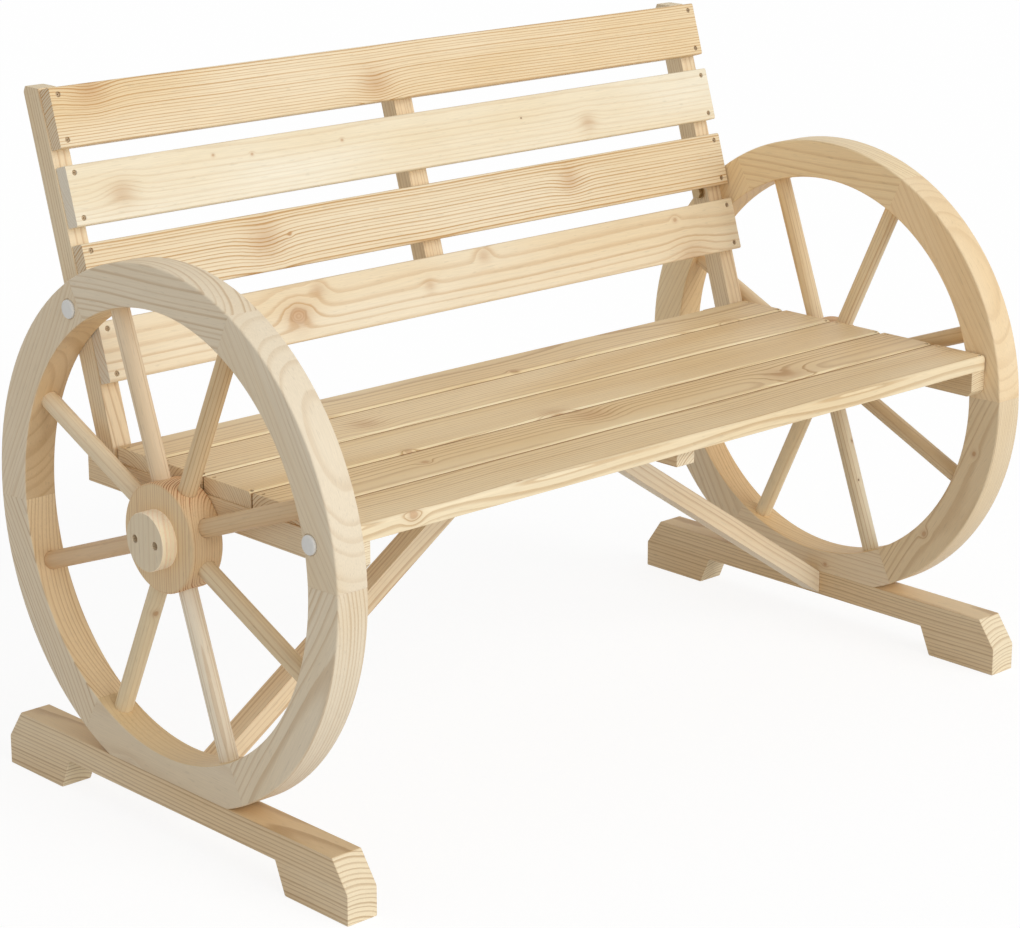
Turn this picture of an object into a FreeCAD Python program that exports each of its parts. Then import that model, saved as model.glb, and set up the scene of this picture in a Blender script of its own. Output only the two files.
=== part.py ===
import FreeCAD, Part
import math
import os
from FreeCAD import Vector

# Garden bench of planed softwood, carried between two wagon wheels that stand on skids.
# Millimetres. X runs to the right as one faces the bench, Y to the rear and Z up.
# The origin is on the ground, midway between the wheels and midway along the skids.
# Angles round a wheel are in degrees, from straight rear, over the top, to the front.

# Main spans
wheel_face_span = 1070.0
seat_rise_above_axle = 65.0

# Wheels
rim_outer_radius = 289.0
rim_width = 47.0
rim_thickness = 39.0
rim_flat_depth = 20.0
felloe_joint_angles = [-3.0, 60.0, 116.0, 178.0, 243.3, 300.0]
spoke_count = 8
first_spoke_angle = 25.0
spoke_radius = 10.2
spoke_plane_inset = 1.3
spoke_tenon_length = 20.0
spoke_hub_clearance = 0.1
socket_clearance = 0.15
socket_end_clearance = 0.3
hub_radius = 59.0
hub_cap_radius = 31.5
hub_cap_thickness = 18.0
hub_cap_hole_radius = 4.5
hub_cap_hole_depth = 10.0
hub_cap_hole_offset = 17.2

# Round plastic caps on the rims' outer faces, by angle and distance from the rim's inner edge
rear_cap_angle = 56.3
rear_cap_inset = 21.0
front_cap_angle = 168.1
front_cap_inset = 10.5
rim_cap_radius = 10.3
rim_cap_height = 3.0

# Skids
skid_length = 592.0
skid_height = 67.0
skid_end_chamfer_length = 23.5
skid_end_chamfer_height = 33.5
skid_arch_height = 35.0
skid_arch_top_length = 362.0
skid_foot_slope_length = 15.0
skid_arris_chamfer = 1.5

# Seat
seat_slat_end_clearance = 2.0
seat_slat_width = 79.0
seat_slat_thickness = 18.0
seat_slat_gap = 2.0
seat_slat_top_radius = 4.5
seat_slat_arris_chamfer = 0.8
seat_front_reach = 266.0
seat_rear_clearance = 0.3
side_bearer_width = 24.0
side_bearer_height = 31.0
side_bearer_front_setback = 1.5
side_bearer_rear_overhang = 23.7
side_bearer_front_chamfer = 6.5
centre_bearer_width = 28.0
centre_bearer_height = 24.0
centre_bearer_front_setback = 24.0
centre_bearer_rear_setback = 10.5
bearer_arris_chamfer = 1.0

# Back
back_lean_angle = 17.0
post_foot_distance = 125.0
post_width = 24.0
post_depth = 28.0
post_rise_above_slats = 2.3
post_top_chamfer_length = 5.0
post_top_chamfer_height = 7.0
post_arris_chamfer = 1.0
back_slat_count = 4
back_slat_end_clearance = 1.5
back_slat_width = 66.0
back_slat_thickness = 18.0
back_slat_gap = 18.5
back_slat_front_radius = 2.5
back_slat_arris_chamfer = 0.8
first_back_slat_rise = 85.0
batten_width = 28.0
batten_depth = 24.0
batten_end_inset = 5.0
batten_arris_chamfer = 1.0

# Braces
brace_thickness = 24.0
brace_depth = 28.0
brace_foot_rise_above_arch = 2.2
brace_head_drop_below_bearer = 3.5
brace_arris_chamfer = 1.0

# Lag screws that pull the back posts to the rims, seen as a hexagon head on a washer
lag_screw_inset = 32.5
lag_head_sides = 6
lag_head_flats = 13.0
lag_head_height = 5.3
lag_washer_radius = 9.0
lag_washer_thickness = 1.6

# One overrun for every cut that passes through a face, and the fineness of comparisons
overrun = 5.0
tiny = 1e-6

RIGHT = Vector(1, 0, 0)
LEFT = Vector(-1, 0, 0)
REAR = Vector(0, 1, 0)
UP = Vector(0, 0, 1)
CENTRE = Vector(0, 0, 0)

# Places worked out from the sizes
outer_face_x = wheel_face_span / 2
inner_face_x = outer_face_x - rim_thickness
spoke_plane_x = outer_face_x - rim_thickness / 2 - spoke_plane_inset
rim_inner_radius = rim_outer_radius - rim_width
axle_height = skid_height + rim_outer_radius - rim_flat_depth
axle = Vector(0, 0, axle_height)
spoke_angle = 360.0 / spoke_count
seat_top_height = axle_height + seat_rise_above_axle
seat_underside = seat_top_height - seat_slat_thickness
seat_front_y = -seat_front_reach
seat_rear_y = post_foot_distance - seat_rear_clearance
seat_slat_pitch = seat_slat_width + seat_slat_gap
seat_slat_count = math.ceil((seat_rear_y - seat_front_y) / seat_slat_pitch)
lean = math.radians(back_lean_angle)
up_the_back = Vector(0, math.sin(lean), math.cos(lean))
behind_the_back = Vector(0, math.cos(lean), -math.sin(lean))
post_foot = Vector(0, post_foot_distance, seat_underside)
post_foot_length = post_depth / math.cos(lean)
post_inner_x = inner_face_x - post_width
side_bearer_inner_x = inner_face_x - side_bearer_width
side_bearer_front_y = seat_front_y + side_bearer_front_setback
side_bearer_rear_y = post_foot_distance + post_foot_length + side_bearer_rear_overhang
side_bearer_underside = seat_underside - side_bearer_height
centre_bearer_front_y = seat_front_y + centre_bearer_front_setback
centre_bearer_rear_y = seat_rear_y - centre_bearer_rear_setback
centre_bearer_underside = seat_underside - centre_bearer_height
back_slat_pitch = back_slat_width + back_slat_gap
back_slats_top_rise = first_back_slat_rise + back_slat_count * back_slat_pitch - back_slat_gap
brace_foot = Vector(inner_face_x, 0, skid_arch_height + brace_foot_rise_above_arch)
brace_head = Vector(centre_bearer_width / 2, 0, centre_bearer_underside - brace_head_drop_below_bearer)
brace_run = brace_head - brace_foot


def rod(radius, start, direction, length):
    return Part.makeCylinder(radius, length, start, direction)


def prism(points, sweep):
    """A solid with one outline at its end, swept along a vector."""
    return Part.Face(Part.makePolygon(points + points[:1])).extrude(sweep)


def across(points, low_x, high_x):
    """A solid with one outline as seen from the side, from one x to another."""
    outline = [Vector(low_x, point.y, point.z) for point in points]
    return prism(outline, RIGHT * (high_x - low_x))


def edges_along(solid, direction):
    """The straight edges that run in one direction."""
    straight = [edge for edge in solid.Edges if isinstance(edge.Curve, Part.Line)]
    return [edge for edge in straight if edge.Curve.Direction.cross(direction).Length < tiny]


def on_wheel(angle, distance, x):
    """A point at an angle and a distance from the axle, in the plane of one x."""
    turn = math.radians(angle)
    return Vector(x, distance * math.cos(turn), axle_height + distance * math.sin(turn))


def on_back(rise, behind):
    """A point up the posts' front faces from their feet, and so far behind those faces."""
    return post_foot + up_the_back * rise + behind_the_back * behind


def spoke_angles():
    return [first_spoke_angle + spoke_angle * index for index in range(spoke_count)]


def spoke_rod(angle, radius, end_clearance):
    """A round rod from the axle out into the rim."""
    tip = on_wheel(angle, rim_inner_radius + spoke_tenon_length + end_clearance, spoke_plane_x)
    middle = axle + RIGHT * spoke_plane_x
    return rod(radius, middle, tip - middle, (tip - middle).Length)


def hub_disc(radius):
    return rod(radius, axle + RIGHT * inner_face_x, RIGHT, rim_thickness)


def spoke(angle):
    """A dowel, coped to the hub at its inner end and let into a felloe at its outer end."""
    return spoke_rod(angle, spoke_radius, 0).cut(hub_disc(hub_radius + spoke_hub_clearance))


def spoke_sockets():
    """The blind holes in the rim that take the spokes' outer ends."""
    radius = spoke_radius + socket_clearance
    return [spoke_rod(angle, radius, socket_end_clearance) for angle in spoke_angles()]


def rim_cap(angle, inset):
    """A low round cap on the rim's outer face."""
    seat = on_wheel(angle, rim_inner_radius + inset, outer_face_x)
    return rod(rim_cap_radius, seat, RIGHT, rim_cap_height)


def rim_caps():
    """The caps on one rim, as one node."""
    rear = rim_cap(rear_cap_angle, rear_cap_inset)
    front = rim_cap(front_cap_angle, front_cap_inset)
    return Part.makeCompound([rear, front])


def lag_axis_at(x):
    """Where the post's middle line crosses the rim, in the plane of one x."""
    distance = rim_inner_radius + lag_screw_inset
    start = on_back(0, post_depth / 2) - axle
    along = start.dot(up_the_back)
    rise = math.sqrt(along ** 2 + distance ** 2 - start.Length ** 2) - along
    middle = axle + start + up_the_back * rise
    return Vector(x, middle.y, middle.z)


def lag_screw():
    """A hexagon head, drawn down on its washer."""
    seat = lag_axis_at(post_inner_x - lag_washer_thickness)
    half_side_angle = math.pi / lag_head_sides
    corner_radius = lag_head_flats / 2 / math.cos(half_side_angle)
    corners = []
    for index in range(lag_head_sides):
        turn = 2 * half_side_angle * index
        corners.append(seat + (REAR * math.cos(turn) + UP * math.sin(turn)) * corner_radius)
    return prism(corners, LEFT * lag_head_height)


def lag_washer():
    return rod(lag_washer_radius, lag_axis_at(post_inner_x), LEFT, lag_washer_thickness)


def felloe_spans():
    """Where each felloe starts and ends, by angle."""
    ends = felloe_joint_angles[1:] + [felloe_joint_angles[0] + 360.0]
    return list(zip(felloe_joint_angles, ends))


def felloe(start_angle, end_angle):
    """One piece of the rim, sawn to the curve, with sockets for the spokes that end in it."""
    corners = [
        axle + RIGHT * inner_face_x + REAR * rim_inner_radius,
        axle + RIGHT * outer_face_x + REAR * rim_inner_radius,
        axle + RIGHT * outer_face_x + REAR * rim_outer_radius,
        axle + RIGHT * inner_face_x + REAR * rim_outer_radius,
    ]
    section = Part.Face(Part.makePolygon(corners + corners[:1]))
    piece = section.revolve(axle, RIGHT, end_angle - start_angle)
    piece.rotate(axle, RIGHT, start_angle)
    skid_room = Part.makeBox(
        rim_thickness + overrun * 2,
        rim_outer_radius * 2,
        skid_height,
        Vector(inner_face_x - overrun, -rim_outer_radius, 0),
    )
    return piece.cut(spoke_sockets() + [skid_room])


def hub_cap():
    """A disc screwed to the hub's outer face, with two counterbored holes side by side."""
    disc = rod(hub_cap_radius, axle + RIGHT * outer_face_x, RIGHT, hub_cap_thickness)
    holes = []
    for side in (-1, 1):
        face = Vector(outer_face_x + hub_cap_thickness, side * hub_cap_hole_offset, axle_height)
        holes.append(rod(hub_cap_hole_radius, face + RIGHT * overrun, LEFT, hub_cap_hole_depth + overrun))
    return disc.cut(holes)


def skid():
    """A plank on edge under the wheel, with sloped ends and a long low arch."""
    half_length = skid_length / 2
    half_arch = skid_arch_top_length / 2
    half_outline = [
        Vector(0, half_arch, skid_arch_height),
        Vector(0, half_arch + skid_foot_slope_length, 0),
        Vector(0, half_length, 0),
        Vector(0, half_length, skid_height - skid_end_chamfer_height),
        Vector(0, half_length - skid_end_chamfer_length, skid_height),
    ]
    front_half = [Vector(0, -point.y, point.z) for point in reversed(half_outline)]
    plank = across(half_outline + front_half, inner_face_x, outer_face_x)
    outline_edges = [edge for edge in plank.Edges if edge.BoundBox.XLength < skid_arris_chamfer]
    return plank.makeChamfer(skid_arris_chamfer, outline_edges)


def seat_slat_span(index):
    """The front and rear y of one seat slat; the last is ripped to fit before the posts."""
    front = seat_front_y + seat_slat_pitch * index
    rear = min(front + seat_slat_width, seat_rear_y)
    return front, rear


def seat_slat(index):
    """One seat board with rounded upper arrises; a ripped edge stays nearly square."""
    front, rear = seat_slat_span(index)
    half_length = inner_face_x - seat_slat_end_clearance
    low_corner = Vector(-half_length, front, seat_underside)
    board = Part.makeBox(half_length * 2, rear - front, seat_slat_thickness, low_corner)
    ripped = rear - front < seat_slat_width - tiny

    def barely_eased(edge):
        middle = edge.CenterOfMass
        below = middle.z < seat_underside + seat_slat_thickness / 2
        return below or (ripped and middle.y > (front + rear) / 2)

    upper = [edge for edge in edges_along(board, RIGHT) if not barely_eased(edge)]
    board = board.makeFillet(seat_slat_top_radius, upper)
    others = [edge for edge in edges_along(board, RIGHT) if barely_eased(edge)]
    return board.makeChamfer(seat_slat_arris_chamfer, others)


def side_bearer():
    """The rail under the seat's end, lying against rim and hub."""
    outline = [
        Vector(0, side_bearer_front_y, seat_underside),
        Vector(0, side_bearer_front_y, side_bearer_underside + side_bearer_front_chamfer),
        Vector(0, side_bearer_front_y + side_bearer_front_chamfer, side_bearer_underside),
        Vector(0, side_bearer_rear_y, side_bearer_underside),
        Vector(0, side_bearer_rear_y, seat_underside),
    ]
    rail = across(outline, side_bearer_inner_x, inner_face_x)
    return rail.makeChamfer(bearer_arris_chamfer, edges_along(rail, REAR))


def centre_bearer():
    """The rail under the middle of the seat, screwed up into every slat."""
    rail = Part.makeBox(
        centre_bearer_width,
        centre_bearer_rear_y - centre_bearer_front_y,
        centre_bearer_height,
        Vector(-centre_bearer_width / 2, centre_bearer_front_y, centre_bearer_underside),
    )
    return rail.makeChamfer(bearer_arris_chamfer, edges_along(rail, REAR))


def post():
    """A leaning post, cut level at foot and head, with the head's rear corner taken off."""
    top_rise = back_slats_top_rise + post_rise_above_slats
    level_shift = post_depth * math.tan(lean)
    rear_top = on_back(top_rise + level_shift, post_depth)
    outline = [
        on_back(0, 0),
        on_back(top_rise, 0),
        rear_top - REAR * post_top_chamfer_length,
        rear_top - up_the_back * post_top_chamfer_height,
        on_back(level_shift, post_depth),
    ]
    stick = across(outline, post_inner_x, inner_face_x)
    return stick.makeChamfer(post_arris_chamfer, edges_along(stick, up_the_back))


def back_slat_rise(index):
    return first_back_slat_rise + back_slat_pitch * index


def back_slat(index):
    """One board of the back, its rear face on the posts' front faces."""
    low = back_slat_rise(index)
    high = low + back_slat_width
    half_length = inner_face_x - back_slat_end_clearance
    outline = [
        on_back(low, -back_slat_thickness),
        on_back(high, -back_slat_thickness),
        on_back(high, 0),
        on_back(low, 0),
    ]
    board = across(outline, -half_length, half_length)
    middle = on_back(low, -back_slat_thickness / 2).dot(behind_the_back)
    front = [edge for edge in edges_along(board, RIGHT) if edge.CenterOfMass.dot(behind_the_back) < middle]
    board = board.makeFillet(back_slat_front_radius, front)
    rear = [edge for edge in edges_along(board, RIGHT) if edge.CenterOfMass.dot(behind_the_back) > middle]
    return board.makeChamfer(back_slat_arris_chamfer, rear)


def back_batten():
    """The upright behind the middle of the back slats, screwed into each of them."""
    low = first_back_slat_rise + batten_end_inset
    high = back_slats_top_rise - batten_end_inset
    half_width = batten_width / 2
    outline = [on_back(low, 0), on_back(high, 0), on_back(high, batten_depth), on_back(low, batten_depth)]
    stick = across(outline, -half_width, half_width)
    return stick.makeChamfer(batten_arris_chamfer, edges_along(stick, up_the_back))


def brace():
    """A strut from the skid's inner face to the centre bearer, cut level where it meets the seat."""
    slope = Vector(brace_run).normalize()
    upright_thickness = UP * (brace_thickness / -slope.x)
    corners = [brace_foot, brace_foot + upright_thickness, brace_head + upright_thickness, brace_head]
    front_corners = [corner - REAR * (brace_depth / 2) for corner in corners]
    stick = prism(front_corners, REAR * brace_depth)
    stick = stick.makeChamfer(brace_arris_chamfer, edges_along(stick, slope))
    seat_room = Part.makeBox(
        inner_face_x,
        brace_depth,
        seat_slat_thickness,
        Vector(0, -brace_depth / 2, seat_underside),
    )
    return stick.cut(seat_room)


def export(name, shape):
    shape.exportStep(os.path.join("parts", name + ".step"))


def mirrored(shape):
    return shape.mirror(CENTRE, RIGHT)


def export_pair(name, suffix, shape):
    """The right-hand shape, and its mirror image on the left."""
    export(name + "_right" + suffix, shape)
    export(name + "_left" + suffix, mirrored(shape))


def export_both_in_one(name, shape):
    """A small fastener and its mirror image, as one node."""
    export(name, Part.makeCompound([shape, mirrored(shape)]))


def main():
    os.makedirs("parts", exist_ok=True)
    for index, (start_angle, end_angle) in enumerate(felloe_spans()):
        export_pair("felloe", "_" + str(index + 1), felloe(start_angle, end_angle))
    for index, angle in enumerate(spoke_angles()):
        export_pair("spoke", "_" + str(index + 1), spoke(angle))
    export_pair("hub", "", hub_disc(hub_radius))
    export_pair("hub_cap", "", hub_cap())
    export_pair("rim_caps", "", rim_caps())
    export_pair("skid", "", skid())
    for index in range(seat_slat_count):
        export("seat_slat_" + str(index + 1), seat_slat(index))
    export_pair("seat_bearer", "", side_bearer())
    export("seat_bearer_centre", centre_bearer())
    export_pair("back_post", "", post())
    for index in range(back_slat_count):
        export("back_slat_" + str(index + 1), back_slat(index))
    export("back_batten", back_batten())
    export_pair("brace", "", brace())
    export_both_in_one("lag_screws", lag_screw())
    export_both_in_one("lag_washers", lag_washer())


main()
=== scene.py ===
import bmesh
import bpy
import math
import numpy as np
from mathutils import Matrix, Vector


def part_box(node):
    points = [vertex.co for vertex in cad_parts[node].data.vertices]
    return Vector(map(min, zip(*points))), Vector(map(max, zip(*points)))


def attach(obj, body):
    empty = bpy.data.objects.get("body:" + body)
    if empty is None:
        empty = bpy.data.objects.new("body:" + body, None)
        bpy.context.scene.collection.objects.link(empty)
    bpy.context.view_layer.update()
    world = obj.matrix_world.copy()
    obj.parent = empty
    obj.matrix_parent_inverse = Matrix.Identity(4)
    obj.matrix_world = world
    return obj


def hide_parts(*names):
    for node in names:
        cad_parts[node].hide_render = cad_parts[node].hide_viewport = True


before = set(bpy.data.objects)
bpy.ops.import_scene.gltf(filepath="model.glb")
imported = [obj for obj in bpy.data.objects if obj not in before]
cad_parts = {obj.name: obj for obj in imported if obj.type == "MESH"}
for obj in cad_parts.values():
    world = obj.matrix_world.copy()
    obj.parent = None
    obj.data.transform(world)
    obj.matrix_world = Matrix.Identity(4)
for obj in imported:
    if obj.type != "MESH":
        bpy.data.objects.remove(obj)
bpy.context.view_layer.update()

# Rims. Each wheel's rim is six felloes of fir of unequal lengths, sawn to the curve with the grain
# along the chord, glued end to end and rounded over at the arrises. Eight blind holes take the
# spokes, two shallow ones the caps, and a flat at the foot stands on the skid.
both_sides = (("left", -1), ("right", 1))
inner_face_x = 0.496
outer_face_x = 0.535
wheel_middle_x = (inner_face_x + outer_face_x) / 2
rim_thickness = outer_face_x - inner_face_x
axle_height = 0.336
rim_outer_radius = 0.289
rim_inner_radius = 0.242
rim_arris_radius = 0.0022
rim_arris_steps = 4
rim_foot_height = 0.067
felloe_joint_angles = [math.radians(angle) for angle in (-3.0, 60.0, 116.0, 178.0, 243.3, 300.0, 357.0)]
felloe_step_angle = math.radians(2.7)
felloe_glue_line = 0.00004
felloe_joint_ease = 0.00022
felloe_joint_ease_length = 0.0005
spoke_count = 8
first_spoke_angle = math.radians(25)
spoke_plane_inset = 0.0013
spoke_radius = 0.0102
spoke_inner_end = 0.042
spoke_outer_end = 0.262
spoke_sides = 28
socket_clearance = 0.00015
socket_end_clearance = 0.0003
rim_socket_start = 0.1
cutter_arris = 0.0002
spoke_plane_x = wheel_middle_x - spoke_plane_inset
rim_cap_places = [(math.radians(56.3), 0.263), (math.radians(168.1), 0.2525)]
rim_cap_recess_radius = 0.0112
rim_cap_recess_depth = 0.0012
rim_cap_recess_outline = [
    (-rim_cap_recess_depth, rim_cap_recess_radius - 0.0002), (-0.0003, rim_cap_recess_radius),
    (0.0006, rim_cap_recess_radius + 0.0009),
]


def srgb(red, green, blue):
    """A colour as seen on a screen, 0 to 255, in the linear values that a shader takes."""
    def linear(value):
        value /= 255
        return value / 12.92 if value <= 0.04045 else ((value + 0.055) / 1.055) ** 2.4
    return linear(red), linear(green), linear(blue), 1.0


def put(tree, socket, value):
    """Links a socket to a node's input, or sets the input to a plain value."""
    if isinstance(value, bpy.types.NodeSocket):
        tree.links.new(value, socket)
    else:
        socket.default_value = value


def set_inputs(tree, node, inputs):
    """Sets a node's inputs, by their names or numbers, to values or links them to sockets."""
    for name, value in inputs.items():
        put(tree, node.inputs[name], value)


def new_node(tree, kind, inputs, **settings):
    """A new node with its settings and inputs."""
    node = tree.nodes.new(kind)
    for name, value in settings.items():
        setattr(node, name, value)
    set_inputs(tree, node, inputs)
    return node


def sum_of(tree, operation, *values, clamp=False):
    """One step of arithmetic on numbers or sockets."""
    inputs = dict(enumerate(values))
    return new_node(tree, "ShaderNodeMath", inputs, operation=operation, use_clamp=clamp).outputs[0]


def plus(tree, first, second):
    """The sum of two numbers or sockets."""
    return sum_of(tree, "ADD", first, second)


def minus(tree, first, second):
    """The first number or socket less the second."""
    return sum_of(tree, "SUBTRACT", first, second)


def times(tree, first, second, clamp=False):
    """The product of two numbers or sockets."""
    return sum_of(tree, "MULTIPLY", first, second, clamp=clamp)


def scaled(tree, value, by, and_plus):
    """A number or socket times the second, and plus the third."""
    return sum_of(tree, "MULTIPLY_ADD", value, by, and_plus)


def vector_sum(tree, operation, *values):
    """One step of arithmetic on vectors."""
    step = new_node(tree, "ShaderNodeVectorMath", dict(enumerate(values)), operation=operation)
    return step.outputs["Value"] if operation == "LENGTH" else step.outputs["Vector"]


def three(tree, *values):
    """A vector from three numbers or sockets."""
    return new_node(tree, "ShaderNodeCombineXYZ", dict(enumerate(values))).outputs[0]


def parts_of(tree, vector):
    """The three numbers of a vector."""
    return tuple(new_node(tree, "ShaderNodeSeparateXYZ", {0: vector}).outputs)


def rise_between(tree, value, low, high):
    """A smooth rise from 0 at low to 1 at high."""
    return new_node(tree, "ShaderNodeMapRange", {
        "Value": value, "From Min": low, "From Max": high,
    }, interpolation_type="SMOOTHSTEP").outputs[0]


def cloud(tree, vector, scale, detail=2.0, roughness=0.5):
    """Soft noise about one half, in space."""
    return new_node(tree, "ShaderNodeTexNoise", {
        "Vector": vector, "Scale": scale, "Detail": detail, "Roughness": roughness,
    }).outputs[0]


def drift(tree, place, scale):
    """Soft noise about one half, along a line."""
    return new_node(tree, "ShaderNodeTexNoise", {
        "W": place, "Scale": scale, "Detail": 1.0,
    }, noise_dimensions="1D").outputs[0]


def blended(tree, factor, first, second, way="MIX"):
    """One colour laid over another."""
    return new_node(tree, "ShaderNodeMix", {
        0: factor, 6: first, 7: second,
    }, data_type="RGBA", blend_type=way, clamp_factor=True).outputs[2]


def attribute_of(tree, name):
    """A value that the pieces' meshes carry."""
    return new_node(tree, "ShaderNodeAttribute", {}, attribute_name=name)


def group_ends(tree, inputs, outputs):
    """Makes a node group's sockets, and gives back its input and output nodes."""
    for name, kind, value in inputs:
        socket = tree.interface.new_socket(name, in_out="INPUT", socket_type=kind)
        if value is not None:
            socket.default_value = value
    for name, kind in outputs:
        tree.interface.new_socket(name, in_out="OUTPUT", socket_type=kind)
    return tree.nodes.new("NodeGroupInput").outputs, tree.nodes.new("NodeGroupOutput").inputs


def knot_group():
    """One knot: how far it pushes the growth lines aside, and the distance from its heart.
    A mark holds the knot's place along and across the board and its radius; a radius below
    nothing puts it on the board's edge, and one more than its size (1.01 for 10 mm) makes it a
    knot that lies under the surface and only bends the lines."""
    tree = bpy.data.node_groups.new("knot in fir", "ShaderNodeTree")
    ask, give = group_ends(
        tree,
        [("Place", "NodeSocketVector", None), ("Mark", "NodeSocketVector", None),
         ("Wobble", "NodeSocketFloat", None)],
        [("Shift", "NodeSocketVector"), ("Lift", "NodeSocketFloat"), ("Distance", "NodeSocketFloat"),
         ("Halo", "NodeSocketFloat"), ("Pin", "NodeSocketFloat")],
    )
    along, across, through = parts_of(tree, ask["Place"])
    knot_along, knot_across, signed_radius = parts_of(tree, ask["Mark"])
    size = sum_of(tree, "ABSOLUTE", signed_radius)
    on_edge = sum_of(tree, "LESS_THAN", signed_radius, -0.0001)
    there = sum_of(tree, "GREATER_THAN", size, 0.0004)
    sunk = sum_of(tree, "GREATER_THAN", size, 0.5)
    open_share = minus(tree, 1.0, sunk)
    radius = sum_of(tree, "MAXIMUM", minus(tree, size, sunk), 0.0005)
    sideways = plus(tree, across, times(tree, minus(tree, through, across), on_edge))
    away = minus(tree, sideways, knot_across)
    run = times(tree, minus(tree, along, knot_along), 0.78)
    distance = sum_of(tree, "DIVIDE", vector_sum(tree, "LENGTH", three(tree, run, away, 0.0)), radius)
    distance = scaled(tree, ask["Wobble"], 0.55, distance)
    distance = sum_of(tree, "MAXIMUM", distance, 0.0)
    fall = sum_of(tree, "DIVIDE", distance, 2.4)
    halo = sum_of(tree, "EXPONENT", times(tree, times(tree, fall, fall), -1.0))
    halo = times(tree, halo, there)
    push = times(tree, times(tree, away, halo), scaled(tree, open_share, 0.7, 0.15))
    edge_push = times(tree, push, on_edge)
    face_push = minus(tree, push, edge_push)
    put(tree, give["Shift"], three(tree, 0.0, face_push, edge_push))
    put(tree, give["Lift"], times(tree, times(tree, halo, radius), scaled(tree, open_share, 0.5, 0.6)))
    bare = times(tree, there, open_share)
    put(tree, give["Distance"], scaled(tree, minus(tree, 1.0, bare), 50.0, distance))
    put(tree, give["Halo"], times(tree, halo, scaled(tree, open_share, 0.12, 0.88)))
    dot = times(tree, bare, sum_of(tree, "LESS_THAN", radius, 0.0012))
    dot = times(tree, dot, minus(tree, 1.0, rise_between(tree, distance, 0.6, 1.3)))
    put(tree, give["Pin"], dot)
    return tree


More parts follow.
